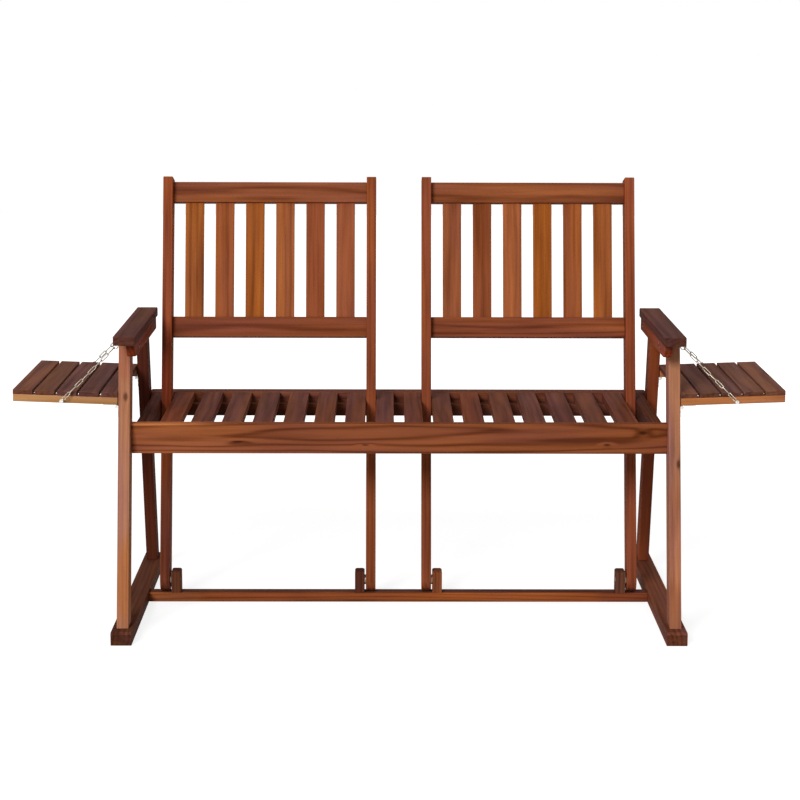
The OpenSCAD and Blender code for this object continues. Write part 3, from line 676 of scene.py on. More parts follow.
def fasteners(node, axis=None, place=UNTURNED):
    """(head, facing, length) of each fastener in a node, in the frame given."""
    found = []
    for points in shells(node, place):
        size = points.max(0) - points.min(0)
        direction = axis or Vector([float(i == int(np.argmax(size))) for i in range(3)])
        reach = points @ np.array(direction)
        length = reach.max() - reach.min()
        upper = points[reach > reach.max() - 1e-4]
        lower = points[reach < reach.min() + 1e-4]
        wide_up = np.ptp(points[reach > reach.max() - length * 0.1], axis=0).max()
        wide_down = np.ptp(points[reach < reach.min() + length * 0.1], axis=0).max()
        if wide_up > wide_down:
            found.append((middle(upper), direction.copy(), length))
        else:
            found.append((middle(lower), -direction, length))
    return found


def holes_for(screws, low, high, sunk=3 * MM):
    """Drillings for the screws whose heads lie in a box or just outside it."""
    return [(head + facing * sunk, -facing, SCREW_HOLE, SCREW_DEPTH + sunk)
            for head, facing, _ in screws
            if all(a - HEAD_REACH <= h <= b + HEAD_REACH for a, h, b in zip(low, head, high))]


wood_screws = fasteners("wood_screws")
bolts = fasteners("bolts")
print(len(wood_screws), "wood screws and", len(bolts), "bolts")

# %% [markdown]
# ## The ends: runners and legs
#
# Each end is a sledge: a runner on the floor and two legs that lean towards each other and
# carry the arm. The runners are dark heartwood with a small bevel at the toe. The front
# legs are the palest, pinkest boards of the bench and have one dark knot each, and the
# rear legs are darker.

# %% Runners
RUNNER_TONES = {"left": (96, 57, 44), "right": (121, 71, 56)}
TOE_BEVEL = 4 * MM
BOLT_HOLE = 9 * MM
BOLT_SINK = 10 * MM
BOLT_HEAD = 4 * MM
DARK = timber("dark_timber", rings=0.18, streaks=0.85, clouds=0.85)

for side in SIDES:
    node = side + "_runner"
    low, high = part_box(node)
    outline = [(low.y, low.z), (high.y, low.z), (high.y, high.z),
               (low.y + TOE_BEVEL, high.z), (low.y, high.z - TOE_BEVEL)]
    feet = holes_for(wood_screws, low, high, sunk=8 * MM)
    recesses = [(head + facing * BOLT_SINK, -facing, BOLT_HOLE, BOLT_HEAD + BOLT_SINK)
                for head, facing, _ in bolts if low.x < head.x < high.x and head.z < high.z]
    make_board(node, outline, low.x, high.x, Y, X, RUNNER_TONES[side], DARK,
               holes=feet + recesses)
print("two runners,", len(feet), "foot screws under each")

# %% Legs
LEG_LEAN = math.radians(13)
LEG_DEPTH = 48 * MM
leg_across = LEG_DEPTH / math.cos(LEG_LEAN)
LEG_STYLES = {
    "left_front_leg": ((170, 116, 92), [((0.173, 0.003), (9 * MM, 5 * MM))],
                       [((-0.20, 0.004), (0.10, 0.020), (1.05, 0.90, 0.62)),
                        ((0.250, 0.0), (0.05, 0.030), (0.93, 0.80, 0.80))]),
    "right_front_leg": ((180, 124, 102), [((0.035, 0.008), (9 * MM, 4.5 * MM))],
                        [((-0.15, -0.002), (0.16, 0.018), (1.10, 1.02, 0.85)),
                         ((-0.275, 0.0), (0.075, 0.030), (0.80, 0.72, 0.72))]),
    # The rear legs' tones carry painted light and shade: the right one is lightened against the post's
    # shadow on it, the left one darkened
    "left_rear_leg": ((88, 43, 30), [], []),
    "right_rear_leg": ((138, 70, 43), [], []),
}

for node, (tone, knots, patches) in LEG_STYLES.items():
    low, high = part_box(node)
    lean = 1 if "front" in node else -1
    foot = low.y if lean > 0 else high.y - leg_across
    top = foot + lean * (high.z - low.z) * math.tan(LEG_LEAN)
    outline = [(foot, low.z), (foot + leg_across, low.z), (top + leg_across, high.z), (top, high.z)]
    along = Vector((0, lean * math.sin(LEG_LEAN), math.cos(LEG_LEAN)))
    wood = timber(node + "_timber", rings=0.12, streaks=0.62, clouds=0.65, knots=knots, patches=patches)
    make_board(node, outline, low.x, high.x, along, along.cross(X), tone, wood)
print("four legs lean", round(math.degrees(LEG_LEAN)), "degrees")

# %% [markdown]
# ## The arms
#
# An arm rail joins the two legs on the inside, with its lower front corner rounded, and
# the armrest lies on top of rail and legs. Armrests are dark and get rounded upright
# corners, which are drawn into their outline from above.

# %% Arm rails
ROUND_STEPS = 10


def arc(centre, radius, start, stop, steps=ROUND_STEPS):
    """Points on an arc in the board's plane; angles in degrees."""
    angles = [math.radians(start + (stop - start) * i / steps) for i in range(steps + 1)]
    return [(centre[0] + radius * math.cos(a), centre[1] + radius * math.sin(a)) for a in angles]


CORNER_RADIUS = 24 * MM
ARM_RAIL_WOOD = timber("arm_rail_timber", rings=0.25, streaks=0.8,
                       patches=[((-0.196, -0.004), (0.016, 0.009), (1.15, 0.85, 0.55))])
upward = [screw for screw in wood_screws if abs(screw[1].z) > 0.5]
sideways = [screw for screw in wood_screws if abs(screw[1].x) > 0.5]
for side in SIDES:
    node = side + "_arm_rail"
    low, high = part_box(node)
    corner = arc((low.y + CORNER_RADIUS, low.z + CORNER_RADIUS), CORNER_RADIUS, 180, 270)
    outline = corner + [(high.y, low.z), (high.y, high.z), (low.y, high.z)]
    holes = holes_for(upward, low, high, sunk=6 * MM) + holes_for(sideways, low, high)
    make_board(node, outline, low.x, high.x, Y, X, (150, 77, 53), ARM_RAIL_WOOD,
               holes=holes)
print("each arm rail has", len(holes), "screw holes")

# %% Armrests
REST_CORNER = 4 * MM
REST_EASE = 1.8 * MM
LAID_FLAT = Matrix(((0, 1, 0), (0, 0, 1), (1, 0, 0))).to_4x4()
SPOTTED = timber("spotted_timber", rings=0.18, streaks=0.85, clouds=0.85,
                 patches=[((-0.262, 0.002), (0.016, 0.013), (0.80, 1.15, 1.40))])
for side, wood in (("left", SPOTTED), ("right", DARK)):
    node = side + "_armrest"
    low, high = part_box(node)
    half = (high - low) / 2
    outline = []
    for quarter, (sx, sy) in enumerate(((1, 1), (-1, 1), (-1, -1), (1, -1))):
        corner = (sx * (half.x - REST_CORNER), sy * (half.y - REST_CORNER))
        outline += arc(corner, REST_CORNER, 90 * quarter, 90 * quarter + 90, 6)
    make_board(node, outline, -half.z, half.z, Z, X, (100, 62, 53), wood,
               place=Matrix.Translation((low + high) / 2) @ LAID_FLAT, ease=REST_EASE)
print("two armrests, each", round(2 * half.x / MM, 1), "mm wide")

# %% [markdown]
# ## The seat frame
#
# The front apron is the showpiece: a wide board with wavy stripes, a pale strip of sapwood
# along its upper left edge and a few small knots. The rear rail, the side rails and the
# stop rail that the backs lean on are plainer. Boards that run along the bench have their
# grain along X.

# %% Apron and rails
APRON_WOOD = timber(
    "apron_timber", rings=0.42, streaks=0.62, clouds=0.40, pitch=6 * MM,
    knots=[((-0.336, -0.007), (12 * MM, 2.4 * MM)), ((-0.071, -0.013), (8 * MM, 2 * MM)),
           ((0.432, -0.012), (7 * MM, 2.4 * MM)), ((0.506, 0.013), (8 * MM, 4 * MM))],
    patches=[((-0.545, 0.031), (0.17, 0.006), (1.75, 2.0, 2.0)),
             ((-0.42, 0.0), (0.20, 0.05), (1.22, 1.28, 1.30))])
RAIL_WOOD = timber("rail_timber", rings=0.30, streaks=0.8, clouds=0.9)


def make_plank(node, tone, material, through=-Y, holes=()):
    """A square-edged board along the bench that fills its node's box."""
    low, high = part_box(node)
    make_board(node, rectangle(low.y, high.y, low.z, high.z), low.x, high.x, X, through,
               tone, material, holes=holes)
    return low, high


apron_back = make_plank("front_apron", (133, 74, 47), APRON_WOOD)[1].y
rail_front = make_plank("rear_rail", (118, 68, 50), RAIL_WOOD)[0].y
for side in SIDES:
    low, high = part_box(side + "_side_rail")
    make_board(side + "_side_rail", rectangle(apron_back, rail_front, low.z, high.z),
               low.x, high.x, Y, X, (92, 53, 41), RAIL_WOOD)
print("the seat frame is", round((rail_front - apron_back) / MM), "mm deep inside")

# %% Stop rail
BACK_LEAN = math.radians(14)
low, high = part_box("back_stop_rail")
bevel_in = (high.z - low.z) * math.tan(BACK_LEAN)
outline = [(low.y, low.z), (high.y, low.z), (high.y, high.z), (low.y + bevel_in, high.z)]
under = holes_for(wood_screws, low, high)
make_board("back_stop_rail", outline, low.x, high.x, X, -Y, (104, 60, 44), RAIL_WOOD,
           holes=under)
print("the stop rail has", len(under), "screws from below")

# %% [markdown]
# ## Rows: seat slats, back slats, tray boards and chain links
#
# Slats repeat at an even pitch, and so do tray boards and links. They could be copied by
# hand, but a Geometry Nodes tree does it once for all: it lays points along a line, puts
# the first board on each, can turn each copy a bit further than the last, and numbers the
# copies so that every board can be painted differently. The tree ends by making the
# copies real and giving them their material.


# %% What the trees share
def geometry_tree(name, **kinds):
    """A Geometry Nodes tree whose inputs are a geometry and these, with its input sockets."""
    tree = bpy.data.node_groups.new(name, "GeometryNodeTree")
    for title, kind in {"Geometry": "Geometry", **kinds}.items():
        tree.interface.new_socket(name=title, in_out="INPUT", socket_type="NodeSocket" + kind)
    tree.interface.new_socket(name="Geometry", in_out="OUTPUT", socket_type="NodeSocketGeometry")
    return tree, add(tree, "NodeGroupInput").outputs


def shown(sockets, name):
    """The socket of this name that a node's settings leave switched on."""
    return [socket for socket in sockets if socket.enabled and socket.name == name][0]


def random_turn(tree, low, high, seed):
    """A random angle for each copy."""
    chance = add(tree, "FunctionNodeRandomValue", {"Seed": seed}, data_type="FLOAT")
    fill(tree, shown(chance.inputs, "Min"), low)
    fill(tree, shown(chance.inputs, "Max"), high)
    return shown(chance.outputs, "Value")


def numbered(tree, copies):
    """Stores the number of each copy, which its vertices keep as the attribute board."""
    label = add(tree, "GeometryNodeStoreNamedAttribute", {"Geometry": copies, "Name": "board"},
                data_type="INT", domain="INSTANCE")
    fill(tree, shown(label.inputs, "Value"), add(tree, "GeometryNodeInputIndex").outputs[0])
    return label.outputs["Geometry"]


def make_real(tree, copies, material):
    """Ends a tree: the copies become real and get their material."""
    solid = add(tree, "GeometryNodeRealizeInstances", {0: copies}).outputs[0]
    done = add(tree, "GeometryNodeSetMaterial", {"Geometry": solid, "Material": material})
    add(tree, "NodeGroupOutput", {0: done.outputs[0]})


print("a tree can number its copies, turn them at random and make them real")


# %% The row tree
def row_tree():
    tree, given = geometry_tree("row", Count="Int", Step="Vector", Turn="Float",
                                Looseness="Float", Seed="Int", Material="Material")
    line = add(tree, "GeometryNodeMeshLine", {"Count": given["Count"], "Offset": given["Step"]},
               mode="OFFSET")
    loose = random_turn(tree, calc(tree, "MULTIPLY", given["Looseness"], -1.0),
                        given["Looseness"], given["Seed"])
    index = add(tree, "GeometryNodeInputIndex").outputs[0]
    turn = calc(tree, "MULTIPLY_ADD", index, given["Turn"], loose)
    spin = add(tree, "ShaderNodeCombineXYZ", {"X": turn}).outputs[0]
    copies = add(tree, "GeometryNodeInstanceOnPoints",
                 {"Points": line.outputs[0], "Instance": given["Geometry"], "Rotation": spin})
    make_real(tree, numbered(tree, copies.outputs[0]), given["Material"])
    return tree


def run_tree(obj, tree, values):
    """Adds the tree as a modifier, sets its inputs by their identifiers and settles the mesh."""
    modifier = obj.modifiers.new(tree.name, "NODES")
    modifier.node_group = tree
    for item in tree.interface.items_tree:
        if item.in_out == "INPUT" and item.name in values:
            modifier[item.identifier] = values[item.name]
    return settle(obj)


ROW = row_tree()


def make_row(name, mesh, count, step, material, turn=0.0, looseness=0.0, seed=1):
    values = {"Count": count, "Step": tuple(step), "Turn": turn, "Looseness": looseness,
              "Seed": seed, "Material": material}
    return run_tree(add_object(name, mesh), ROW, values)


print("the row tree has", len(ROW.nodes), "nodes")


# %% Rows that fit the construction
def joined(name, meshes):
    """Several meshes with the same attributes as one."""
    bm = bmesh.new()
    for mesh in meshes:
        bm.from_mesh(mesh)
    return baked(bm, name)


def merged(name, parts):
    """One object out of several, which are removed."""
    whole = add_object(name, joined(name, [part.data for part in parts]))
    for part in parts:
        bpy.data.objects.remove(part)
    return whole


def boxes_of(groups):
    """Lowest and highest corner of each group of points, in order along X."""
    return sorted((tuple(points.min(0)), tuple(points.max(0))) for points in groups)


def fitted_rows(name, boxes, axis, shape, material):
    """Boards in order along an axis: each run of boards of one size becomes a row."""
    sizes = [round((high[axis] - low[axis]) / MM, 1) for low, high in boxes]
    starts = [i for i in range(len(boxes)) if i == 0 or sizes[i] != sizes[i - 1]]
    rows = []
    for start, stop in zip(starts, starts[1:] + [len(boxes)]):
        step = [0.0, 0.0, 0.0]
        step[axis] = boxes[min(start + 1, stop - 1)][0][axis] - boxes[start][0][axis]
        row = make_row(f"{name}_{start}", shape(*boxes[start]), stop - start, step, material)
        numbers = board_numbers(row.data) + start
        row.data.attributes["board"].data.foreach_set("value", numbers)
        rows.append(row)
    return merged(name, rows)


print("boards of one size share a row")

# %% [markdown]
# ### Seat slats
#
# Sixteen slats run from the apron to the rear rail. They are the same dark red-brown as
# the runners, but each one differs a little. The two in the middle are narrower, because
# the backs' inner posts stand beside them, so the slats come as three rows in one mesh.

# %% Seat slats
SEAT_TONES = [(128, 70, 50), (119, 69, 54), (116, 71, 57), (113, 68, 57), (116, 69, 54),
              (122, 70, 53), (115, 67, 53), (120, 72, 60), (115, 65, 50), (117, 69, 55)]
slat_names = [name for name in sorted(frame["nodes"]) if name.startswith("seat_slat_")]


def seat_slat(low, high):
    """A slat between the shoulders of its tenons."""
    outline = rectangle(apron_back, rail_front, low[2], high[2])
    return grain_board(board_mesh(outline, low[0], high[0], Y), Y, Z)


slat_boxes = boxes_of(node_points(name) for name in slat_names)
slat_pitch = slat_boxes[1][0][0] - slat_boxes[0][0][0]
seat_slats = fitted_rows("seat_slats", slat_boxes, 0, seat_slat, DARK)
paint(seat_slats.data, "seat_slats", SEAT_TONES)
dress(seat_slats, "frame", slat_names, DARK)
print(len(slat_names), "seat slats,", round(slat_pitch / MM, 1), "mm apart")

# %% [markdown]
# ## The folding backs
#
# Each back is a ladder: two posts that reach down to the pivots by the floor, two rails
# between them and six thin slats housed in the rails. The posts end in a half round about
# the pivot bolt, so they clear the stretcher as they turn. All of it is drawn upright, with
# the pivot at the origin of Y and Z, and then leaned back.

# %% Posts and rails of the backs
PIVOT_SINK = 1 * MM
HEAD_RECESS = 9 * MM
HEAD_DEPTH = 4.3 * MM
pivots = {joint["child"]: Vector(joint["pos_m"]) for joint in frame["joints"]}
POST_TONES = {"outer": (148, 77, 47), "inner": (142, 75, 46)}
LOWER_TONES = {"left": (128, 69, 46), "right": (142, 78, 51)}
# Painted light: the upper part of each post is lightened; low down the posts get a cooler tint
POST_WOOD = timber("post_timber", rings=0.14, streaks=0.85, clouds=0.9,
                   patches=[((0.34, 0.0), (0.10, 0.05), (1.12, 1.14, 1.1)),
                            ((-0.33, 0.0), (0.16, 0.06), (0.95, 1.00, 1.15))])
# A painted-shade copy of the post timber: the armrest's shadow darkens the middle, the shade under the
# seat the lower part
SHADED_POST_WOOD = timber("dark_post_timber", rings=0.14, streaks=0.85, clouds=0.9,
                        patches=[((0.03, 0.0), (0.14, 0.06), (0.68, 0.52, 0.62)),
                                 ((-0.33, 0.0), (0.16, 0.06), (0.72, 0.80, 1.20))])
BACK_RAIL_WOOD = timber("back_rail_timber", rings=0.30, streaks=0.75, clouds=0.7)


def leaned(body):
    """Matrix from the upright back to its place."""
    at = Vector((0, pivots[body].y, pivots[body].z))
    return Matrix.Translation(at) @ Matrix.Rotation(-BACK_LEAN, 4, "X")


def make_post(side, which):
    body = side + "_back"
    node = f"{body}_{which}_post"
    place = leaned(body)
    low, high = box_in(node, place)
    radius = high.y
    outline = arc((0, 0), radius, 180, 360, 36) + [(radius, high.z), (-radius, high.z)]
    recess = [(head + facing * PIVOT_SINK, -facing, HEAD_RECESS, PIVOT_SINK + HEAD_DEPTH)
              for head, facing, _ in fasteners("bolts", X, place)
              if low.x < head.x < high.x and Vector((head.y, head.z)).length < radius]
    # Painted shade: the left outer post, in the armrest's shadow, takes the shaded copy of the post
    # timber
    wood = SHADED_POST_WOOD if (side, which) == ("left", "outer") else POST_WOOD
    make_board(node, outline, low.x, high.x, Z, X, POST_TONES[which], wood,
               body=body, place=place, holes=recess)


def make_back_rail(side, which, tone):
    body = side + "_back"
    node = f"{body}_{which}_rail"
    place = leaned(body)
    low, high = box_in(node, place)
    posts = sorted([box_in(f"{body}_{post}_post", place) for post in ("outer", "inner")],
                   key=lambda corners: corners[0].x)
    make_board(node, rectangle(low.y, high.y, low.z, high.z), posts[0][1].x, posts[1][0].x, X, -Y,
               tone, BACK_RAIL_WOOD, body=body, place=place)


for side in SIDES:
    for which in ("outer", "inner"):
        make_post(side, which)
    make_back_rail(side, "top", (145, 83, 55))
    make_back_rail(side, "lower", LOWER_TONES[side])
print("two ladders lean back", round(math.degrees(BACK_LEAN)), "degrees")

# %% [markdown]
# ### Back slats
#
# The slats show the widest choice of colour in the bench, from honey to plum, because they
# are cut from the offcuts of all the other boards.

# %% Back slats
SLAT_TONES = {
    "left": [(164, 95, 50), (148, 82, 50), (156, 87, 40),
             (157, 91, 57), (158, 86, 50), (146, 82, 58)],
    "right": [(152, 88, 60), (143, 78, 48), (160, 92, 60),
              (156, 87, 40), (151, 84, 48), (162, 92, 46)],
}
SLAT_WOOD = timber("slat_timber", rings=0.18, streaks=0.8, clouds=0.75)

for side in SIDES:
    body = side + "_back"
    node = body + "_slats"
    place = leaned(body)
    boxes = boxes_of(shells(node, place))
    (x0, y0, z0), (x1, y1, z1) = boxes[0]
    step = boxes[1][0][0] - x0
    mesh = grain_board(board_mesh(rectangle(y0, y1, z0, z1), x0, x1, Z), Z, -Y)
    row = make_row(node + "_row", mesh, len(boxes), (step, 0, 0), SLAT_WOOD)
    paint(row.data, node, SLAT_TONES[side])
    row.data.transform(place)
    dress(row, body, [node], SLAT_WOOD)
print(len(boxes), "slats to a back,", round(step / MM, 1), "mm apart")

# %% [markdown]
# ## Stretcher and pivot blocks
#
# A flat stretcher ties the runners together, and four blocks stand on it beside the posts.
# Each block has its four top edges bevelled before the general easing.

# %% Stretcher
# Painted shade: the middle of the top, under the seat, and the front at the right end by the runner are
# darkened; the front near the left end is lightened
STRETCHER_WOOD = timber("stretcher_timber", rings=0.26, streaks=0.8, clouds=0.7,
                        patches=[((0.0, 0.004), (3.0, 0.018), (0.42, 0.56, 1.25)),
                                 ((-0.49, -0.018), (0.07, 0.012), (1.30, 1.55, 1.80)),
                                 ((0.50, -0.018), (0.08, 0.012), (0.72, 0.70, 1.05))])
low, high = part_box("lower_stretcher")
under = holes_for(wood_screws, low, high)
make_plank("lower_stretcher", (146, 78, 42), STRETCHER_WOOD, Z, under)
print("the stretcher has", len(under), "screws from below")

# %% Pivot blocks
BLOCK_BEVEL = 3 * MM
BLOCK_EASE = 0.6 * MM
NUT_RECESS = 8.5 * MM
NUT_DEPTH = 7.5 * MM
BLOCK_TONES = [(116, 68, 46), (92, 50, 36), (138, 78, 48), (104, 65, 49)]
BLOCK_WOOD = timber("block_timber", rings=0.26, streaks=0.8, clouds=0.7)


def block_mesh(low, high):
    """An upright block whose four top edges are bevelled."""
    bm = bmesh.new()
    bmesh.ops.create_cube(bm, size=1, matrix=Matrix.Translation((low + high) / 2)
                          @ Matrix.Diagonal((*(high - low), 1)))
    top = [edge for edge in bm.edges if all(v.co.z > high.z - 1e-5 for v in edge.verts)]
    bmesh.ops.bevel(bm, geom=top, offset=BLOCK_BEVEL, segments=1, profile=0.5, affect="EDGES")
    return eased(bm, "block", Z, BLOCK_EASE, square=0.6)


def nut_recess(low, high):
    """The round recess for the nut in a block: its mouth is in the face nearest the nut."""
    nut = [middle(points) for points in shells("pivot_nuts") if low.x < middle(points).x < high.x][0]
    outward = X if nut.x > (low.x + high.x) / 2 else -X
    mouth = Vector((high.x if outward == X else low.x, nut.y, nut.z))
    return mouth, -outward, NUT_RECESS, NUT_DEPTH


blocks = []
for number, corners in enumerate(boxes_of(shells("pivot_blocks"))):
    low, high = map(Vector, corners)
    mesh = grain_board(drill(block_mesh(low, high), [nut_recess(low, high)]), Z, X)
    store(mesh, "board", "INT", [number] * len(mesh.vertices))
    blocks.append(mesh)
pivot_blocks = add_object("pivot_block_set", joined("pivot_blocks", blocks))
paint(pivot_blocks.data, "pivot_blocks", BLOCK_TONES)
dress(pivot_blocks, "frame", ["pivot_blocks"], BLOCK_WOOD)
print(len(blocks), "pivot blocks")

# %% [markdown]
# ## The trays
#
# Each tray is five dark boards screwed from below to two pale battens. It is drawn in its
# own frame, with the hinge pin at the origin, and tilted up a little as it hangs on its
# chains.

# %% Tray boards and battens
TRAY_TILT = math.radians(2)
TRAY_EASE = 0.9 * MM
TRAY_HOLE = 4.2 * MM
TRAY_HOLE_DEPTH = 2.5 * MM
TRAY_SINK = 3 * MM
TRAY_TONES = [(124, 80, 66), (118, 77, 64), (114, 75, 65), (112, 73, 63), (116, 75, 63)]
BATTEN_TONES = {"left": (174, 127, 90), "right": (180, 115, 76)}
PALE = timber("batten_timber", rings=0.22, streaks=0.65, clouds=0.75)


def hung(side):
    """Matrix from the tray's own frame to its place: the pin lies along Y at the origin."""
    body = side + "_tray"
    outward = -1 if side == "left" else 1
    at = Vector((pivots[body].x, 0, pivots[body].z))
    return Matrix.Translation(at) @ Matrix.Rotation(-outward * TRAY_TILT, 4, "Y")


def tray_row(side, part, along, through, axis, tones, material, holes=()):
    """A row of tray boards or battens, from the shells of their node."""
    body = side + "_tray"
    node = f"{body}_{part}"
    place = hung(side)
    boxes = sorted(boxes_of(shells(node, place)), key=lambda corners: corners[0][axis])

    def shape(low, high):
        outline = rectangle(low[1], high[1], low[2], high[2])
        mesh = board_mesh(outline, low[0], high[0], along, TRAY_EASE)
        if holes:
            mesh = drill(mesh, [hole for hole in holes if hole[0].y < high[1]])
        return grain_board(mesh, along, through)

    row = fitted_rows(node + "_row", boxes, axis, shape, material)
    paint(row.data, node, tones)
    row.data.transform(place)
    dress(row, body, [node], material)
    return len(boxes)


tray_screws = {side: fasteners(side + "_tray_screws", place=hung(side)) for side in SIDES}
for side in SIDES:
    tones = TRAY_TONES if side == "left" else TRAY_TONES[::-1]
    boards = tray_row(side, "boards", Y, Z, 0, tones, DARK)
    sunk = [(head + facing * TRAY_SINK, -facing, TRAY_HOLE, TRAY_HOLE_DEPTH + TRAY_SINK)
            for head, facing, _ in tray_screws[side] if facing.z < -0.5]
    tray_row(side, "battens", X, Y, 1, [BATTEN_TONES[side]], PALE, sunk)
print(boards, "boards and two battens to a tray")

# %% [markdown]
# ## Chains
#
# A chain is one link, repeated and turned a quarter each time. The link is a wire swept
# round a slot shape. The row tree from above makes the chain along X, and the finished
# chain is laid from the first link of the construction to the last. Real links never hang
# exactly square, so each one is turned by up to nine degrees more or less.


# %% A link and the four chains
LINK_SLACK = math.radians(9)
WIRE = 1.0 * MM


def ring_of(bm, centre, across, up, radius, count):
    """New vertices spaced evenly round a circle."""
    turns = [2 * math.pi * k / count for k in range(count)]
    return [bm.verts.new([c + radius * (math.cos(turn) * a + math.sin(turn) * u)
                          for c, a, u in zip(centre, across, up)]) for turn in turns]


def skinned(bm, rings, name):
    """A mesh of faces from each ring to the next; a ring of one vertex is a tip."""
    for first, second in zip(rings, rings[1:]):
        count = max(len(first), len(second))
        for k in range(count):
            j = (k + 1) % count
            corners = (first[k % len(first)], second[k % len(second)],
                       second[j % len(second)], first[j % len(first)])
            bm.faces.new(list(dict.fromkeys(corners)))
    bmesh.ops.recalc_face_normals(bm, faces=bm.faces)
    return baked(bm, name)


def link_mesh(length, width, around=10, bend=8):
    """A closed link in the XY plane, its middle at the origin."""
    mean = width / 2 - WIRE
    straight = length / 2 - width / 2
    path = arc((straight, 0), mean, -90, 90, bend) + arc((-straight, 0), mean, 90, 270, bend)
    bm = bmesh.new()
    rings = []
    for i, (x, y) in enumerate(path):
        heading = (Vector(path[(i + 1) % len(path)]) - Vector(path[i - 1])).normalized()
        rings.append(ring_of(bm, (x, y, 0), (heading.y, -heading.x, 0), Z, WIRE, around))
    return skinned(bm, rings + rings[:1], "link")


def lay_chain(side, which, links, seed):
    """One chain along its links, which are sorted from the eye downwards."""
    first, last = middle(links[0]), middle(links[-1])
    run = (last - first).normalized()
    pitch = (last - first).length / (len(links) - 1)
    reach = links[0] @ np.array(run)
    across = (Y - run * run.dot(Y)).normalized()
    width = np.ptp(links[0] @ np.array(across))
    link = link_mesh(reach.max() - reach.min(), width)
    chain = make_row(f"{side}_{which}_chain", link, len(links), (pitch, 0, 0), CHAIN_STEEL,
                     turn=math.pi / 2, looseness=LINK_SLACK, seed=seed)
    axes = Matrix((run, across, run.cross(across))).transposed().to_4x4()
    chain.data.transform(Matrix.Translation(first) @ axes)
    return chain


for side in SIDES:
    node = side + "_chains"
    links = sorted(shells(node), key=lambda points: -points[:, 2].mean())
    front = [points for points in links if points[:, 1].mean() < 0]
    rear = [points for points in links if points[:, 1].mean() >= 0]
    parts = [lay_chain(side, "front", front, 3), lay_chain(side, "rear", rear, 5)]
    chain_pair = merged(side + "_chain_links", parts)
    chain_pair.data.shade_smooth()
    dress(chain_pair, side + "_chain_pair", [node], CHAIN_STEEL)
print(len(front), "links to a chain")

# %% [markdown]
# ## Screws and bolts
#
# A screw is turned on a lathe and so is this one: a profile spun round its axis, with the
# cross or the hexagon of its drive cut into the head. It is made once with its head at the
# origin. A second Geometry Nodes tree then puts it on points, one for each fastener, turns
# it to face the way that the point says, and spins it by a random angle, because no two
# screws stop at the same place.


# %% Turned screws
# Radii of head and shank, and for the bolts the height of the head between them
WOOD_SCREW = (4.5 * MM, 2.5 * MM)
TRAY_SCREW = (4 * MM, 2 * MM)
BOLT = (8 * MM, BOLT_HEAD, 4 * MM)
CROSS_DEPTH = 1.3 * MM
SOCKET_DEPTH = 2.4 * MM


def turned(profile, sides=28):
    """A closed body from (radius, height) points, from the top down."""
    bm = bmesh.new()
    rings = [ring_of(bm, (0, 0, height), X, Y, radius, sides if radius else 1)
             for radius, height in profile]
    return skinned(bm, rings, "turned")


def carved(mesh, cutters):
    """A turned body with its drive cut into the head."""
    result = cut_out(mesh, cutters)
    smooth_shallow(result, 35)
    return result


def bar(length, width, angle):
    """A flat bar across the screw's head, for one arm of a cross drive."""
    bm = bmesh.new()
    bmesh.ops.create_cube(bm, size=1, matrix=Matrix.Rotation(angle, 4, "Z")
                          @ Matrix.Diagonal((length, width, 2 * CROSS_DEPTH, 1)))
    return baked(bm, "bar")


def hexagon(radius):
    """A plug for the socket of a bolt."""
    bm = bmesh.new()
    bmesh.ops.create_cone(bm, cap_ends=True, segments=6, radius1=radius, radius2=radius,
                          depth=2 * SOCKET_DEPTH)
    return baked(bm, "hexagon")


def wood_screw(head, shank, length):
    """A countersunk screw with a cross drive, its head's top at the origin."""
    profile = [(0, 0), (head * 0.94, 0), (head, -0.3 * MM), (head, -0.9 * MM), (shank, -0.65 * head),
               (shank, -length + 2 * shank), (shank * 0.35, -length + 0.3 * MM), (0, -length)]
    return carved(turned(profile), [bar(head * 1.15, head * 0.22, angle) for angle in (0, math.pi / 2)])


def domed_bolt(head, height, shank, length):
    """A button-head bolt with a hexagon socket, the top of its head at the origin."""
    dome = [(head * math.sin(a), height * (math.cos(a) - 1))
            for a in [math.radians(10 * i) for i in range(0, 9)]]
    profile = dome + [(head, -height * 0.85), (head, -height), (shank, -height),
                      (shank, -length + 0.6 * MM), (shank - 0.6 * MM, -length), (0, -length)]
    return carved(turned(profile, 40), [hexagon(head * 0.36)])


print("a screw has", len(wood_screw(*WOOD_SCREW, 38 * MM).polygons), "faces")


# %% The tree that sets fasteners
def scatter_tree():
    tree, given = geometry_tree("fasteners", Fastener="Object", Spin="Float", Seed="Int",
                                Material="Material")
    facing = add(tree, "GeometryNodeInputNamedAttribute", {"Name": "facing"},
                 data_type="FLOAT_VECTOR")
    align = add(tree, "FunctionNodeAlignRotationToVector",
                {"Vector": shown(facing.outputs, "Attribute")}, axis="Z")
    angle = random_turn(tree, 0.0, given["Spin"], given["Seed"])
    spin = add(tree, "ShaderNodeCombineXYZ", {"Z": angle})
    turn = add(tree, "FunctionNodeRotateRotation",
               {0: align.outputs[0], 1: spin.outputs[0]}, rotation_space="LOCAL")
    part = add(tree, "GeometryNodeObjectInfo", {"Object": given["Fastener"]},
               transform_space="ORIGINAL")
    copies = add(tree, "GeometryNodeInstanceOnPoints",
                 {"Points": given["Geometry"], "Instance": part.outputs["Geometry"],
                  "Rotation": turn.outputs[0]})
    make_real(tree, copies.outputs[0], given["Material"])
    return tree


SCATTER = scatter_tree()


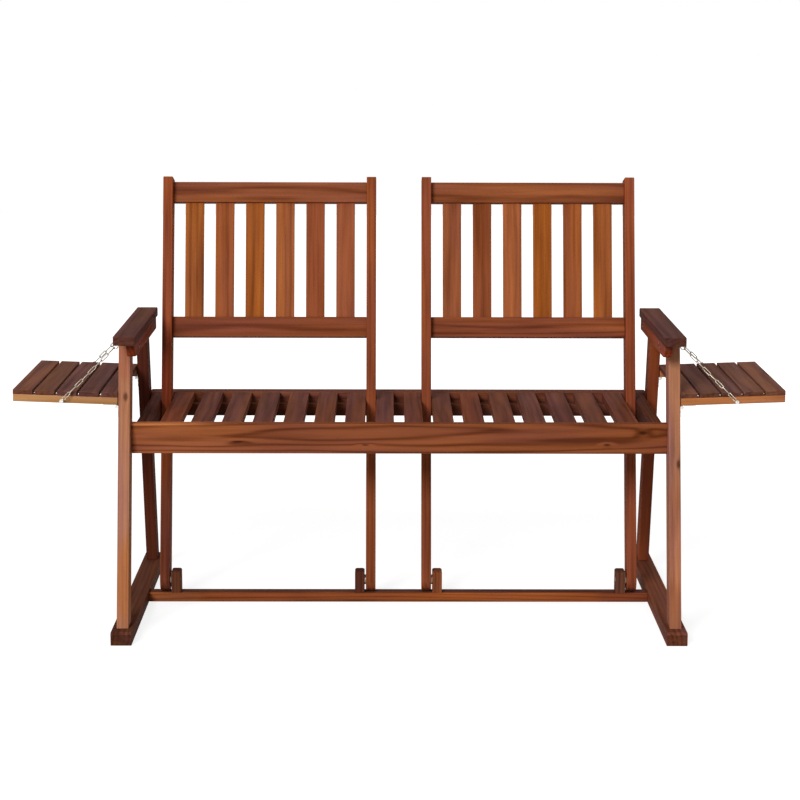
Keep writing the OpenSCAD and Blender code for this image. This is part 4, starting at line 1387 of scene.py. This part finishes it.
def set_fasteners(name, part_mesh, places, seed, place):
    """Copies of a fastener at each (head, facing, length)."""
    points = bpy.data.meshes.new(name)
    points.from_pydata([tuple(head) for head, _, _ in places], [], [])
    store(points, "facing", "FLOAT_VECTOR", [tuple(facing) for _, facing, _ in places])
    part = add_object("part", part_mesh)
    obj = run_tree(add_object(name, points), SCATTER,
                   {"Fastener": part, "Spin": 2 * math.pi, "Seed": seed, "Material": STEEL})
    obj.data.transform(place)
    bpy.data.objects.remove(part)
    return obj


def set_by_length(name, make, sizes, places, seed, place=UNTURNED):
    """Fasteners of several lengths: one part is made for each length."""
    by_length = {}
    for fastener in places:
        by_length.setdefault(round(fastener[2] / MM, 1), []).append(fastener)
    sets = [set_fasteners(f"{name}_{number}", make(*sizes, length * MM), by_length[length],
                          seed + number, place)
            for number, length in enumerate(sorted(by_length))]
    return merged(name, sets)


print("the fastener tree has", len(SCATTER.nodes), "nodes")

# %% Setting the screws and bolts
screws = set_by_length("wood_screw_set", wood_screw, WOOD_SCREW, wood_screws, 7)
dress(screws, "frame", ["wood_screws"], CHAIN_STEEL)

bolt_set = set_by_length("bolt_set", domed_bolt, BOLT, bolts, 11)
dress(bolt_set, "frame", ["bolts"], STEEL)

for side in SIDES:
    body = side + "_tray"
    tray_set = set_by_length(body + "_screw_set", wood_screw, TRAY_SCREW, tray_screws[side], 13,
                             hung(side))
    dress(tray_set, body, [body + "_screws"], STEEL)
    print(len(tray_screws[side]), "screws in the", side, "tray")

# %% [markdown]
# ## Hinges, eyes, washers and nuts
#
# The construction already has these as true turned and folded shapes, so they stay as they
# are and only get their steel.

# %% Fittings kept from the construction
for node in ("leg_leaves", "hinge_pins", "left_tray_leaves", "right_tray_leaves", "chain_eyes",
             "pivot_washers", "pivot_nuts"):
    fitting = frame["nodes"][node]
    finish = CHAIN_STEEL if node in ("pivot_washers", "chain_eyes") else STEEL
    if not fitting.material_slots:
        fitting.data.materials.append(finish)
    for material_slot in fitting.material_slots:
        material_slot.material = finish
print("seven fittings keep their shape")

# %% [markdown]
# ## The size
#
# The dressed bench is measured over everything that it shows, and its size is printed.

# %% Size of the dressed bench
visual_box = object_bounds()
size = [round(side / MM) for side in visual_box[1] - visual_box[0]]
print("the dressed bench measures", size, "mm")
